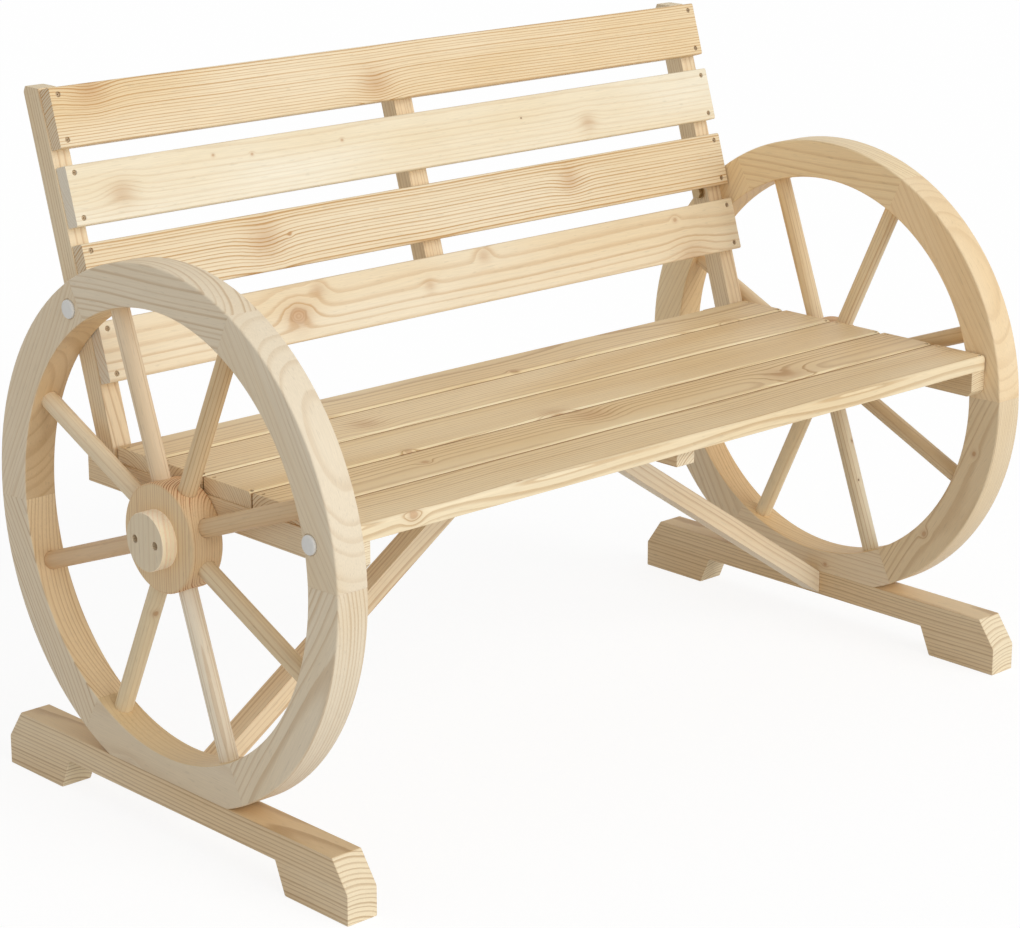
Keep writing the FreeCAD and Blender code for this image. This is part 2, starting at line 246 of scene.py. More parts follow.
def fir_group():
    """Planed fir, worked out in the whole of each board: growth rings round a pith that wanders,
    bent round the knots, each year with a thin line of late wood, fine fibres and soft patches.
    Each board has its own tint, strength and breadth of rings, which its mesh carries."""
    tree = bpy.data.node_groups.new("planed fir", "ShaderNodeTree")
    ask, give = group_ends(
        tree,
        [("Pale wood", "NodeSocketColor", srgb(244, 228, 200)),
         ("Warm wood", "NodeSocketColor", srgb(232, 204, 162)),
         ("Growth line", "NodeSocketColor", srgb(196, 158, 112)),
         ("Knot", "NodeSocketColor", srgb(184, 130, 90)),
         ("End wood", "NodeSocketColor", srgb(238, 222, 196)),
         ("End lines", "NodeSocketFloat", 1.1),
         ("Ring spacing", "NodeSocketFloat", 0.0042),
         ("Line strength", "NodeSocketFloat", 0.6),
         ("Wander", "NodeSocketFloat", 0.012),
         ("Waves", "NodeSocketFloat", 0.0026),
         ("Patches", "NodeSocketFloat", 0.7)],
        [("Colour", "NodeSocketColor"), ("Roughness", "NodeSocketFloat"), ("Height", "NodeSocketFloat")],
    )
    place = attribute_of(tree, "grain").outputs["Vector"]
    pith_across, pith_through, seed = parts_of(tree, attribute_of(tree, "pith").outputs["Vector"])
    line_gain, ring_gain, patch_gain = parts_of(tree, attribute_of(tree, "figure").outputs["Vector"])
    tint = attribute_of(tree, "tint").outputs["Vector"]
    end_grain = rise_between(tree, attribute_of(tree, "end_grain").outputs["Fac"], 0.45, 0.92)
    seed_shift = three(tree, seed, times(tree, seed, 1.7), times(tree, seed, 0.6))

    def board_cloud(along, across, detail=2.0, roughness=0.5):
        stretched = vector_sum(tree, "MULTIPLY", place, (along, across, across))
        return cloud(tree, vector_sum(tree, "ADD", stretched, seed_shift), 1.0, detail, roughness)

    wobble = minus(tree, board_cloud(60.0, 90.0, 1.0), 0.5)
    knots = []
    for name in knot_names:
        mark = attribute_of(tree, name).outputs["Vector"]
        knots.append(new_node(tree, "ShaderNodeGroup", {
            "Place": place, "Mark": mark, "Wobble": wobble,
        }, node_tree=knot_tree).outputs[:])
    shift, lift, distance, halo, pin = knots[0]
    for found in knots[1:]:
        shift = vector_sum(tree, "ADD", shift, found[0])
        lift = plus(tree, lift, found[1])
        distance = sum_of(tree, "MINIMUM", distance, found[2])
        halo = sum_of(tree, "MAXIMUM", halo, found[3])
        pin = sum_of(tree, "MAXIMUM", pin, found[4])

    along, across, through = parts_of(tree, vector_sum(tree, "SUBTRACT", place, shift))
    stray_across = minus(tree, drift(tree, plus(tree, along, seed), 3.1), 0.5)
    stray_through = minus(tree, drift(tree, minus(tree, along, seed), 2.3), 0.5)
    stray_across = scaled(tree, stray_across, ask["Wander"], pith_across)
    stray_through = scaled(tree, stray_through, ask["Wander"], pith_through)
    spread = three(tree, minus(tree, across, stray_across), minus(tree, through, stray_through), 0.0)
    radius = plus(tree, vector_sum(tree, "LENGTH", spread), lift)
    waves = minus(tree, board_cloud(9.0, 38.0, 1.0), 0.5)
    radius = scaled(tree, waves, ask["Waves"], radius)
    ripple = minus(tree, board_cloud(55.0, 150.0, 2.0), 0.5)
    radius = scaled(tree, ripple, 0.0004, radius)
    phase = sum_of(tree, "DIVIDE", radius, times(tree, ask["Ring spacing"], ring_gain))
    years = minus(tree, drift(tree, plus(tree, phase, seed), 0.55), 0.5)
    phase = scaled(tree, years, 0.9, phase)
    season = sum_of(tree, "FRACT", phase)
    year = new_node(tree, "ShaderNodeTexWhiteNoise", {
        "W": plus(tree, sum_of(tree, "FLOOR", phase), seed),
    }, noise_dimensions="1D")
    late = times(tree, rise_between(tree, season, 0.46, 0.84),
                 minus(tree, 1.0, rise_between(tree, season, 0.9, 1.0)))
    late = sum_of(tree, "POWER", late, 1.3)
    patch = board_cloud(3.2, 16.0, 2.0, 0.6)
    line = times(tree, late, scaled(tree, year.outputs["Value"], 0.6, 0.5))
    line = times(tree, line, scaled(tree, patch, 1.1, 0.45))
    line = times(tree, line, times(tree, ask["Line strength"], line_gain))
    line = times(tree, line, scaled(tree, end_grain, minus(tree, ask["End lines"], 1.0), 1.0))
    line = times(tree, line, scaled(tree, halo, 0.6, 1.0), clamp=True)

    fibre = board_cloud(28.0, 900.0, 2.0, 0.65)
    fleck = board_cloud(70.0, 520.0, 0.0)
    fleck = rise_between(tree, fleck, 0.72, 0.8)
    warmth = rise_between(tree, board_cloud(2.1, 11.0, 2.0), 0.3, 0.7)
    warmth = times(tree, warmth, times(tree, ask["Patches"], patch_gain))
    colour = blended(tree, warmth, ask["Pale wood"], ask["Warm wood"])
    colour = blended(tree, times(tree, end_grain, 0.85), colour, ask["End wood"])
    colour = blended(tree, line, colour, ask["Growth line"])
    streaks = scaled(tree, minus(tree, fibre, 0.5), 0.22, 1.0)
    streaks = minus(tree, streaks, times(tree, fleck, 0.08))
    colour = blended(tree, 1.0, colour, three(tree, streaks, streaks, streaks), "MULTIPLY")
    stain = times(tree, times(tree, halo, halo), 0.55)
    colour = blended(tree, stain, colour, blended(tree, 0.45, ask["Growth line"], ask["Knot"]))
    heart = minus(tree, 1.0, rise_between(tree, distance, 0.7, 1.2))
    rings = sum_of(tree, "SINE", times(tree, distance, 19.0))
    rings = scaled(tree, rings, 0.14, 0.38)
    heart_colour = blended(tree, rings, ask["Knot"], ask["Warm wood"])
    bark = times(tree, rise_between(tree, distance, 0.62, 0.96),
                 minus(tree, 1.0, rise_between(tree, distance, 0.98, 1.3)))
    heart_colour = blended(tree, times(tree, bark, 0.3), heart_colour,
                           blended(tree, 1.0, ask["Knot"], srgb(196, 186, 176), "MULTIPLY"))
    colour = blended(tree, times(tree, heart, 0.62), colour, heart_colour)
    colour = blended(tree, 1.0, colour, tint, "MULTIPLY")
    colour = blended(tree, times(tree, pin, 0.75), colour, srgb(96, 74, 54))
    put(tree, give["Colour"], colour)
    gloss = scaled(tree, fibre, 0.16, 0.46)
    gloss = minus(tree, gloss, times(tree, late, 0.05))
    put(tree, give["Roughness"], scaled(tree, end_grain, 0.16, gloss))
    height = scaled(tree, late, 0.5, times(tree, fibre, 0.45))
    height = scaled(tree, fleck, -0.5, height)
    put(tree, give["Height"], scaled(tree, heart, 0.5, height))
    return tree


def new_material(name):
    """A fresh material, its tree and its shader."""
    material = bpy.data.materials.new(name)
    material.use_nodes = True
    return material, material.node_tree, material.node_tree.nodes["Principled BSDF"]


def give_relief(tree, shader, height, depth, strength):
    """Raises and sinks a shader's surface a little by a height."""
    bump = new_node(tree, "ShaderNodeBump", {"Distance": depth, "Strength": strength, "Height": height})
    put(tree, shader.inputs["Normal"], bump.outputs["Normal"])


def fir(name, values):
    """A board's material: the planed fir with this piece's own values."""
    material, tree, shader = new_material(name)
    figure = new_node(tree, "ShaderNodeGroup", values, node_tree=fir_tree).outputs
    set_inputs(tree, shader, {
        "Base Color": figure["Colour"], "Roughness": figure["Roughness"], "Specular IOR Level": fir_gloss,
    })
    give_relief(tree, shader, figure["Height"], fir_relief_depth, fir_relief_strength)
    return material


def copies_on_points(tree, inputs, material):
    """The last nodes of a geometry tree: a piece on every point, as one mesh in one material."""
    copies = new_node(tree, "GeometryNodeInstanceOnPoints", inputs).outputs[0]
    real = new_node(tree, "GeometryNodeRealizeInstances", {0: copies}).outputs[0]
    return new_node(tree, "GeometryNodeSetMaterial", {"Geometry": real, "Material": material}).outputs[0]


def copies_round_axle_group():
    """Geometry nodes that set one piece round the axle at even angles."""
    tree = bpy.data.node_groups.new("copies round the axle", "GeometryNodeTree")
    ask, give = group_ends(
        tree,
        [("Piece", "NodeSocketGeometry", None), ("Count", "NodeSocketInt", 6),
         ("First angle", "NodeSocketFloat", 0.0), ("Axle", "NodeSocketVector", None),
         ("Material", "NodeSocketMaterial", None)],
        [("Wheel", "NodeSocketGeometry")],
    )
    points = new_node(tree, "GeometryNodePoints", {"Count": ask["Count"], "Position": ask["Axle"]})
    number = new_node(tree, "GeometryNodeInputIndex", {}).outputs[0]
    angle = scaled(tree, number, sum_of(tree, "DIVIDE", math.tau, ask["Count"]), ask["First angle"])
    turn = new_node(tree, "FunctionNodeEulerToRotation", {0: three(tree, angle, 0.0, 0.0)})
    put(tree, give["Wheel"], copies_on_points(tree, {
        "Points": points.outputs[0], "Instance": ask["Piece"], "Rotation": turn.outputs[0],
    }, ask["Material"]))
    return tree


def modified(mesh, kind, values, inputs=None):
    """A mesh run through one modifier, as a plain mesh. Inputs are those of its node tree."""
    rough = bpy.data.objects.new("rough", mesh)
    bpy.context.collection.objects.link(rough)
    modifier = rough.modifiers.new("work", kind)
    for name, value in values.items():
        setattr(modifier, name, value)
    for name, value in (inputs or {}).items():
        modifier[name] = value
    result = bpy.data.meshes.new_from_object(rough.evaluated_get(bpy.context.evaluated_depsgraph_get()))
    rough.modifiers.remove(modifier)
    bpy.data.objects.remove(rough)
    return result


def repeated(tree, mesh, settings):
    """One mesh run through a geometry nodes tree, as a plain mesh."""
    sockets = {item.name: item.identifier for item in tree.interface.items_tree if item.in_out == "INPUT"}
    inputs = {sockets[name]: value for name, value in settings.items()}
    return modified(mesh, "NODES", {"node_group": tree}, inputs)


def carved(mesh, tool):
    """One mesh cut by another, as a plain mesh."""
    cutter = bpy.data.objects.new("cutter", tool)
    bpy.context.collection.objects.link(cutter)
    result = modified(mesh, "BOOLEAN", {"operation": "DIFFERENCE", "solver": "EXACT", "object": cutter})
    bpy.data.objects.remove(cutter)
    return result


def planed(mesh, material, sharp_angle=math.radians(32)):
    """Flats shaded flat and roundings smooth, as a plain mesh in one material."""
    mesh.polygons.foreach_set("use_smooth", [True] * len(mesh.polygons))
    mesh.set_sharp_from_angle(angle=sharp_angle)
    result = modified(mesh, "WEIGHTED_NORMAL", {"keep_sharp": True, "weight": 100})
    result.materials.clear()
    result.materials.append(material)
    return result


def board(middle, along, across, pith, seed, *knots, tint=(1, 1, 1), figure=(1, 1, 1)):
    """How one board lies in its log: its middle, its grain, the pith beside it and its knots. Its
    figure gives the strength of its lines, the breadth of its rings and the share of warm wood."""
    along, across = Vector(along).normalized(), Vector(across).normalized()
    return {
        "middle": tuple(middle),
        "axes": (tuple(along), tuple(across), tuple(along.cross(across))),
        "pith": (pith[0], pith[1], seed),
        "tint": tint,
        "figure": figure,
        "knots": (list(knots) + [(0.0, 0.0, 0.0)] * len(knot_names))[:len(knot_names)],
    }


def mark_boards(mesh, boards, board_of=None):
    """Writes on each face corner where it lies in its own board, for the fir to read."""
    faces, corners = len(mesh.polygons), len(mesh.loops)
    corner_vertex, sides = np.empty(corners, np.int32), np.empty(faces, np.int32)
    mesh.loops.foreach_get("vertex_index", corner_vertex)
    mesh.polygons.foreach_get("loop_total", sides)
    places = np.empty(len(mesh.vertices) * 3, np.float32)
    centres, normals = np.empty(faces * 3, np.float32), np.empty(faces * 3, np.float32)
    mesh.vertices.foreach_get("co", places)
    mesh.polygons.foreach_get("center", centres)
    mesh.polygons.foreach_get("normal", normals)
    places, centres, normals = places.reshape(-1, 3), centres.reshape(-1, 3), normals.reshape(-1, 3)
    face_of = np.repeat(np.arange(faces), sides)
    chosen = board_of(centres).astype(int)[face_of] if board_of else np.zeros(corners, int)
    axes = np.array([item["axes"] for item in boards])[chosen]
    middles = np.array([item["middle"] for item in boards])[chosen]
    values = {"grain": np.einsum("nij,nj->ni", axes, places[corner_vertex] - middles)}
    for name in ("pith", "tint", "figure"):
        values[name] = np.array([item[name] for item in boards])[chosen]
    for number, name in enumerate(knot_names):
        values[name] = np.array([item["knots"][number] for item in boards])[chosen]
    for name, value in values.items():
        layer = mesh.attributes.new(name, "FLOAT_VECTOR", "CORNER")
        layer.data.foreach_set("vector", value.astype(np.float32).ravel())
    ends = np.abs(np.einsum("nj,nj->n", axes[:, 0], normals[face_of]))
    mesh.attributes.new("end_grain", "FLOAT", "CORNER").data.foreach_set("value", ends.astype(np.float32))


def shown(name, mesh):
    """The finished piece, at the origin, with its place in its mesh."""
    piece = bpy.data.objects.new(name, mesh)
    mesh.name = name
    bpy.context.collection.objects.link(piece)
    return piece


def rings_joined(rings):
    """A skin over rings of points that have equal counts, with a flat face at each end."""
    shape = bmesh.new()
    loops = [[shape.verts.new(point) for point in ring] for ring in rings]
    for near, far in zip(loops, loops[1:]):
        for index in range(len(near)):
            shape.faces.new((near[index - 1], near[index], far[index], far[index - 1]))
    shape.faces.new(loops[0])
    shape.faces.new(loops[-1])
    bmesh.ops.recalc_face_normals(shape, faces=shape.faces)
    return shape


def as_mesh(name, shape):
    """A shape under work as a mesh."""
    mesh = bpy.data.meshes.new(name)
    shape.to_mesh(mesh)
    shape.free()
    return mesh


def joined(meshes):
    """Several meshes as one."""
    shape = bmesh.new()
    for mesh in meshes:
        shape.from_mesh(mesh)
    return as_mesh("joined", shape)


def turned_mesh(name, outline, middle, direction, sides):
    """A solid turned on an axis. The outline gives distances along the axis and from it."""
    axis = Vector(direction).normalized()
    side_way = Vector((0, 1, 0)) if abs(axis.x) > 0.5 else Vector((1, 0, 0))
    side_way = (side_way - axis * side_way.dot(axis)).normalized()
    other_way = axis.cross(side_way)
    rings = []
    for at, distance in outline:
        rings.append([
            middle + axis * at + (side_way * math.cos(math.tau * side / sides)
                                  + other_way * math.sin(math.tau * side / sides)) * distance
            for side in range(sides)
        ])
    return as_mesh(name, rings_joined(rings))


def cut_level(shape, height, side_cut_off):
    """Cuts off what lies above a height (1) or below it (-1), and closes the cut."""
    cut = bmesh.ops.bisect_plane(
        shape, geom=shape.verts[:] + shape.edges[:] + shape.faces[:], plane_co=(0, 0, height),
        plane_no=(0, 0, side_cut_off), clear_outer=True,
    )
    open_edges = [item for item in cut["geom_cut"] if isinstance(item, bmesh.types.BMEdge)]
    if open_edges:
        bmesh.ops.holes_fill(shape, edges=open_edges)
        bmesh.ops.recalc_face_normals(shape, faces=shape.faces)


def felloe_mesh(axle, start, end):
    """One felloe in its place between two joints, flat where it stands on the skid."""
    half_thickness = rim_thickness / 2
    corners = [
        (half_thickness, rim_outer_radius, 0), (-half_thickness, rim_outer_radius, 90),
        (-half_thickness, rim_inner_radius, 180), (half_thickness, rim_inner_radius, 270),
    ]

    def section(turn, ease):
        points = []
        for x, distance, first in corners:
            centre_x = x - math.copysign(rim_arris_radius, x)
            outwards = 1 if distance == rim_outer_radius else -1
            centre_distance = distance - outwards * rim_arris_radius
            for step in range(rim_arris_steps + 1):
                angle = math.radians(first + 90 * step / rim_arris_steps)
                at_x = centre_x + (rim_arris_radius - ease) * math.cos(angle)
                at = centre_distance + (rim_arris_radius - ease) * math.sin(angle)
                points.append(axle + Vector((at_x, at * math.cos(turn), at * math.sin(turn))))
        return points

    start += felloe_glue_line / 2 / rim_outer_radius
    end -= felloe_glue_line / 2 / rim_outer_radius
    ease_turn = felloe_joint_ease_length / rim_outer_radius
    steps = math.ceil((end - start) / felloe_step_angle)
    turns = [(start, felloe_joint_ease)]
    for step in range(steps + 1):
        turns.append((start + ease_turn + (end - start - 2 * ease_turn) * step / steps, 0))
    turns.append((end, felloe_joint_ease))
    shape = rings_joined([section(turn, ease) for turn, ease in turns])
    cut_level(shape, rim_foot_height, -1)
    return as_mesh("felloe", shape)


def dowel_mesh(radius, start, end, arris):
    """A round rod that points to the rear."""
    rings = []
    for at, size in (
        (start, radius - arris), (start + arris, radius), (end - arris, radius), (end, radius - arris),
    ):
        turns = [math.tau * side / spoke_sides for side in range(spoke_sides)]
        rings.append([Vector((size * math.cos(turn), at, size * math.sin(turn))) for turn in turns])
    return as_mesh("dowel", rings_joined(rings))


def round_wheel(mesh, side, material):
    """Copies of one mesh round a wheel's axle, one for each spoke."""
    return repeated(round_axle_tree, mesh, {
        "Count": spoke_count, "First angle": first_spoke_angle,
        "Axle": (side * spoke_plane_x, 0, axle_height), "Material": material,
    })


def on_outer_face(side, angle, distance):
    """A point on a wheel's outer face, by its angle and distance from the axle."""
    rise = distance * math.sin(angle)
    return Vector((side * outer_face_x, distance * math.cos(angle), axle_height + rise))


def angles_round_axle(centres):
    """The angles at which faces lie round the axle, upwards from the rear."""
    return np.arctan2(centres[:, 2] - axle_height, centres[:, 1])


def distances_from_axle(centres):
    """The distances of faces from the axle, seen from the side."""
    return np.hypot(centres[:, 1], centres[:, 2] - axle_height)


def felloe_at(centres):
    """The felloe, counted twice: first its faces and tread, then its bore, painted darker and browner as
    shade.
    """
    turned = np.mod(angles_round_axle(centres) - felloe_joint_angles[0], math.tau)
    numbers = np.searchsorted(np.array(felloe_joint_angles[1:-1]) - felloe_joint_angles[0], turned)
    return numbers * 2 + (distances_from_axle(centres) < rim_inner_radius + rim_arris_radius * 0.4)


fir_relief_depth = 0.0005
fir_relief_strength = 0.28
fir_gloss = 0.32
knot_names = ["knot_" + letter for letter in "abcdef"]
knot_tree = knot_group()
fir_tree = fir_group()
round_axle_tree = copies_round_axle_group()
rim_fir = fir("fir of the rims", {
    "Pale wood": srgb(243, 229, 201), "Warm wood": srgb(234, 212, 173),
    "Growth line": srgb(200, 168, 124), "Ring spacing": 0.0046, "Line strength": 0.62,
    "Wander": 0.012, "Waves": 0.0018, "Patches": 0.6,
})
felloe_logs = {
    "left": [
        ((0.08, 0.03), (0.5, 1.3, 0.9)), ((0.07, 0.07), (0.9, 1.4, 0.7)), ((0.09, -0.012), (0.5, 1.7, 1.3)),
        ((0.01, 0.085), (0.85, 1.0, 1.0)), ((-0.02, -0.09), (0.45, 1.3, 0.8)),
        ((-0.065, 0.07), (1.2, 0.95, 0.8)),
    ],
    "right": [
        ((0.07, 0.06), (0.6, 1.2, 1.0)), ((0.06, -0.08), (0.8, 1.3, 0.9)), ((0.09, 0.012), (0.45, 1.6, 1.2)),
        ((0.01, -0.085), (0.9, 0.7, 1.2)), ((0.05, 0.08), (0.7, 1.0, 1.0)), ((-0.06, -0.07), (0.8, 1.0, 1.0)),
    ],
}
# For each side, the felloes' own tint for faces and tread, then their bores' tint, painted darker and browner
# as painted shade.
felloe_tone_and_bore_shade = {
    "left": [(0.99, 0.975, 0.985), (0.96, 0.88, 0.75)],
    "right": [(1.09, 1.0, 0.88), (0.98, 0.84, 0.65)],
}
felloe_shades = {
    "left": [(0.99, 0.98, 0.97), (1, 1, 1), (1, 1, 1), (1, 1, 1), (0.95, 0.94, 0.93), (0.98, 0.98, 0.98)],
    "right": [(1.03, 1.05, 1.06), (1.02, 1.05, 1.07), (0.99, 0.98, 0.97), (0.93, 0.98, 1.07),
              (0.91, 0.95, 1.05), (0.86, 0.89, 0.96)],
}
# Painted shade and light on each felloe's bore, by where it lies round the wheel.
bore_painted_light_and_shade = {
    "left": [(0.89, 0.82, 0.76), (0.96, 0.92, 0.88), (1, 1, 1), (1, 1, 1), (0.95, 0.92, 0.86),
             (1.08, 1.05, 1.04)],
    "right": [(1, 1, 1)] * 5 + [(0.99, 0.96, 0.95)],
}
felloe_knots = {
    ("left", 4): [(0.062, 0.012, 1.006)],
    ("right", 3): [(-0.077, -0.016, 0.0024), (0.0621, -0.0174, 0.0028)],
    ("right", 4): [(-0.03, -0.008, 0.0022)],
}
felloe_ends = list(zip(felloe_joint_angles, felloe_joint_angles[1:]))
for side_name, side in both_sides:
    axle = Vector((side * wheel_middle_x, 0, axle_height))
    cutters = [round_wheel(dowel_mesh(
        spoke_radius + socket_clearance, rim_socket_start, spoke_outer_end + socket_end_clearance,
        cutter_arris,
    ), side, rim_fir)]
    for angle, distance in rim_cap_places:
        place = on_outer_face(side, angle, distance)
        cutters.append(turned_mesh("recess", rim_cap_recess_outline, place, (side, 0, 0), 48))
    holes = joined(cutters)
    sawn = [carved(felloe_mesh(axle, start, end), holes) for start, end in felloe_ends]
    rim = planed(joined(sawn), rim_fir)
    felloes = []
    for index, (start, end) in enumerate(felloe_ends):
        outwards = Vector((0, math.cos((start + end) / 2), math.sin((start + end) / 2)))
        pith, figure = felloe_logs[side_name][index]
        # The second board of each felloe is its bore, which carries the painted shade.
        felloes += [board(
            axle + outwards * (rim_inner_radius + rim_outer_radius) / 2,
            Vector((0, -outwards.z, outwards.y)), outwards, pith,
            3.7 * index + 11.3 * (side + 1.5), *felloe_knots.get((side_name, index), []),
            tint=tuple(np.multiply(tint, shades[side_name][index])), figure=figure,
        ) for tint, shades in zip(felloe_tone_and_bore_shade[side_name], (felloe_shades, bore_painted_light_and_shade))]
    mark_boards(rim, felloes, felloe_at)
    rim_piece = shown("rim_of_wheel_" + side_name, rim)
    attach(rim_piece, "root")
    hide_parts(*["felloe_%s_%d" % (side_name, index + 1) for index in range(6)])

# Spokes. Eight round fir dowels to a wheel, a little warmer in colour than the rim, driven into
# blind holes in the felloes and into the hub.
spoke_fir = fir("fir of the spokes", {
    "Pale wood": srgb(248, 234, 206), "Warm wood": srgb(236, 210, 170),
    "Growth line": srgb(200, 162, 116), "Ring spacing": 0.0038, "Line strength": 0.3,
    "Wander": 0.006, "Waves": 0.001, "Patches": 0.9,
})
spoke_arris = 0.0008


def spoke_at(centres):
    """The spoke that each face belongs to."""
    step = math.tau / spoke_count
    turned = np.mod(angles_round_axle(centres) - first_spoke_angle + step / 2, math.tau)
    return np.floor(turned / step).astype(int) % spoke_count


spoke_knots = {
    ("left", 3): [(-0.04, 0.0, 0.0016)],
    ("left", 6): [(-0.052, -0.003, 0.0024)],
    ("right", 5): [(-0.05, 0.002, 0.0011), (0.0, -0.003, 0.0011)],
    ("right", 4): [(0.045, 0.003, 0.0014)],
}
# Each spoke's own tint. It also paints light and shade by the spoke's place round the wheel, the same on both
# wheels: the spoke pointing down to the front is lighter, the level ones darker.
spoke_tone_and_painted_light = {
    "left": [(0.97, 0.92, 0.85), (1.0, 0.97, 0.95), (0.94, 0.88, 0.78), (0.86, 0.75, 0.63),
             (0.95, 0.92, 0.85), (1.05, 1.1, 1.2), (0.92, 0.86, 0.75), (0.88, 0.76, 0.66)],
    "right": [(0.97, 0.9, 0.8), (1.06, 1.03, 0.95), (1.0, 0.98, 0.92), (0.88, 0.8, 0.68),
              (0.88, 0.82, 0.72), (1.0, 1.08, 1.16), (1.0, 1.0, 0.95), (0.9, 0.82, 0.72)],
}
spoke_middle = (spoke_inner_end + spoke_outer_end) / 2
for side_name, side in both_sides:
    axle = Vector((side * spoke_plane_x, 0, axle_height))
    rod = dowel_mesh(spoke_radius, spoke_inner_end, spoke_outer_end, spoke_arris)
    spokes = planed(round_wheel(rod, side, spoke_fir), spoke_fir)
    dowels = []
    for index in range(spoke_count):
        angle = first_spoke_angle + math.tau * index / spoke_count
        outwards = Vector((0, math.cos(angle), math.sin(angle)))
        dowels.append(board(
            axle + outwards * spoke_middle, outwards, (1, 0, 0),
            (0.03 * math.cos(1.9 * index + side), 0.03 * math.sin(1.9 * index + side)),
            5.1 * index + 17.9 * (side + 2), *spoke_knots.get((side_name, index), []),
            tint=spoke_tone_and_painted_light[side_name][index], figure=(1 + index % 3 * 0.5, 1, 1),
        ))
    mark_boards(spokes, dowels, spoke_at)
    spokes_piece = shown("spokes_of_wheel_" + side_name, spokes)
    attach(spokes_piece, "root")
    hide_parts(*["spoke_%s_%d" % (side_name, index + 1) for index in range(spoke_count)])

# Hubs. A sawn disc of fir as thick as the rim, grain upright, with the arrises rounded over and
# eight holes round its edge for the spokes. Its edge shows reddish end grain at top and foot.
hub_radius = 0.059
hub_arris_radius = 0.0024
hub_sides = 96
hub_socket_clearance = 0.0003
hub_socket_end = 0.08
hub_fir = fir("fir of the hubs", {
    "Pale wood": srgb(241, 217, 176), "Warm wood": srgb(233, 201, 154), "End wood": srgb(244, 210, 166),
    "Growth line": srgb(186, 124, 80), "Ring spacing": 0.0030, "Line strength": 0.34, "End lines": 3.6,
    "Wander": 0.008, "Waves": 0.0014, "Patches": 0.7,
})


def rounded(corner_at, corner_distance, radius, first, last, steps=4):
    """Points of one rounding on a turned outline, by its centre and its first and last angle."""
    points = []
    for step in range(steps + 1):
        angle = math.radians(first + (last - first) * step / steps)
        points.append((corner_at + radius * math.cos(angle), corner_distance + radius * math.sin(angle)))
    return points


for side_name, side in both_sides:
    axle = Vector((side * wheel_middle_x, 0, axle_height))
    half_thickness = rim_thickness / 2
    outline = rounded(
        -half_thickness + hub_arris_radius, hub_radius - hub_arris_radius, hub_arris_radius, 180, 90,
    ) + rounded(half_thickness - hub_arris_radius, hub_radius - hub_arris_radius, hub_arris_radius, 90, 0)
    hub = turned_mesh("hub", outline, axle, (1, 0, 0), hub_sides)
    sockets = round_wheel(dowel_mesh(
        spoke_radius + hub_socket_clearance, spoke_inner_end - socket_end_clearance, hub_socket_end,
        cutter_arris,
    ), side, hub_fir)
    hub = planed(carved(hub, sockets), hub_fir)
    mark_boards(hub, [
        board(axle, (0, 0.06, 1), (0, 1, 0), (-0.07, side * 0.035), 8.4 + side, tint=tint)
        for tint in ((1, 1, 1), (0.96, 0.92, 0.88))
    ], lambda centres: distances_from_axle(centres) > hub_radius - hub_arris_radius)
    hub_piece = shown("hub_of_wheel_" + side_name, hub)
    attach(hub_piece, "root")
    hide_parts("hub_" + side_name)

# Hub caps. A smaller disc of pale fir over the middle of each hub, held by two screws that sit
# deep in counterbored holes side by side.
hub_cap_radius = 0.0315
hub_cap_thickness = 0.018
hub_cap_arris_radius = 0.0014
hub_cap_hole_radius = 0.0045
hub_cap_hole_depth = 0.010
hub_cap_hole_offset = 0.0172
hub_cap_hole_outline = [
    (hub_cap_thickness - hub_cap_hole_depth, hub_cap_hole_radius),
    (hub_cap_thickness - 0.0006, hub_cap_hole_radius),
    (hub_cap_thickness + 0.0004, hub_cap_hole_radius + 0.001),
]
hub_cap_fir = fir("fir of the hub caps", {
    "Pale wood": srgb(244, 228, 196), "Warm wood": srgb(236, 213, 172),
    "Growth line": srgb(205, 172, 128), "Ring spacing": 0.005, "Line strength": 0.25,
    "Wander": 0.01, "Waves": 0.0014, "Patches": 0.5,
})
for side_name, side in both_sides:
    seat = Vector((side * outer_face_x, 0, axle_height))
    outline = [(0.0, hub_cap_radius)] + rounded(
        hub_cap_thickness - hub_cap_arris_radius, hub_cap_radius - hub_cap_arris_radius,
        hub_cap_arris_radius, 90, 0, 5,
    )
    cap = turned_mesh("cap", outline, seat, (side, 0, 0), 72)
    holes = []
    for hole_side in (-1, 1):
        centre = seat + Vector((0, hole_side * hub_cap_hole_offset, 0))
        holes.append(turned_mesh("hole", hub_cap_hole_outline, centre, (side, 0, 0), 28))
    cap = planed(carved(cap, joined(holes)), hub_cap_fir)
    # The cap's face is painted a little darker and its rounded edge much lighter: painted shade and painted
    # light.
    mark_boards(cap, [
        board(seat, (0, 0.1, 1), (0, 1, 0), (-0.05, side * 0.05), 2.6 + side, tint=tint)
        for tint in ((0.93, 0.92, 0.93), (1.22, 1.22, 1.24))
    ], lambda centres: distances_from_axle(centres) > hub_cap_radius - hub_cap_arris_radius * 0.5)
    cap_piece = shown("cap_of_hub_" + side_name, cap)
    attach(cap_piece, "root")
    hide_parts("hub_cap_" + side_name)

# Rim caps. Round covers of white plastic, slightly domed, pushed into the shallow holes in the
# rims' outer faces.
rim_cap_radius = 0.0103
rim_cap_outline = [
    (-rim_cap_recess_depth, rim_cap_radius - 0.0001), (0.0012, rim_cap_radius),
    (0.0019, rim_cap_radius - 0.0003), (0.00245, rim_cap_radius - 0.0010),
    (0.00275, rim_cap_radius - 0.0022), (0.0029, 0.0055), (0.003, 0.0025),
]


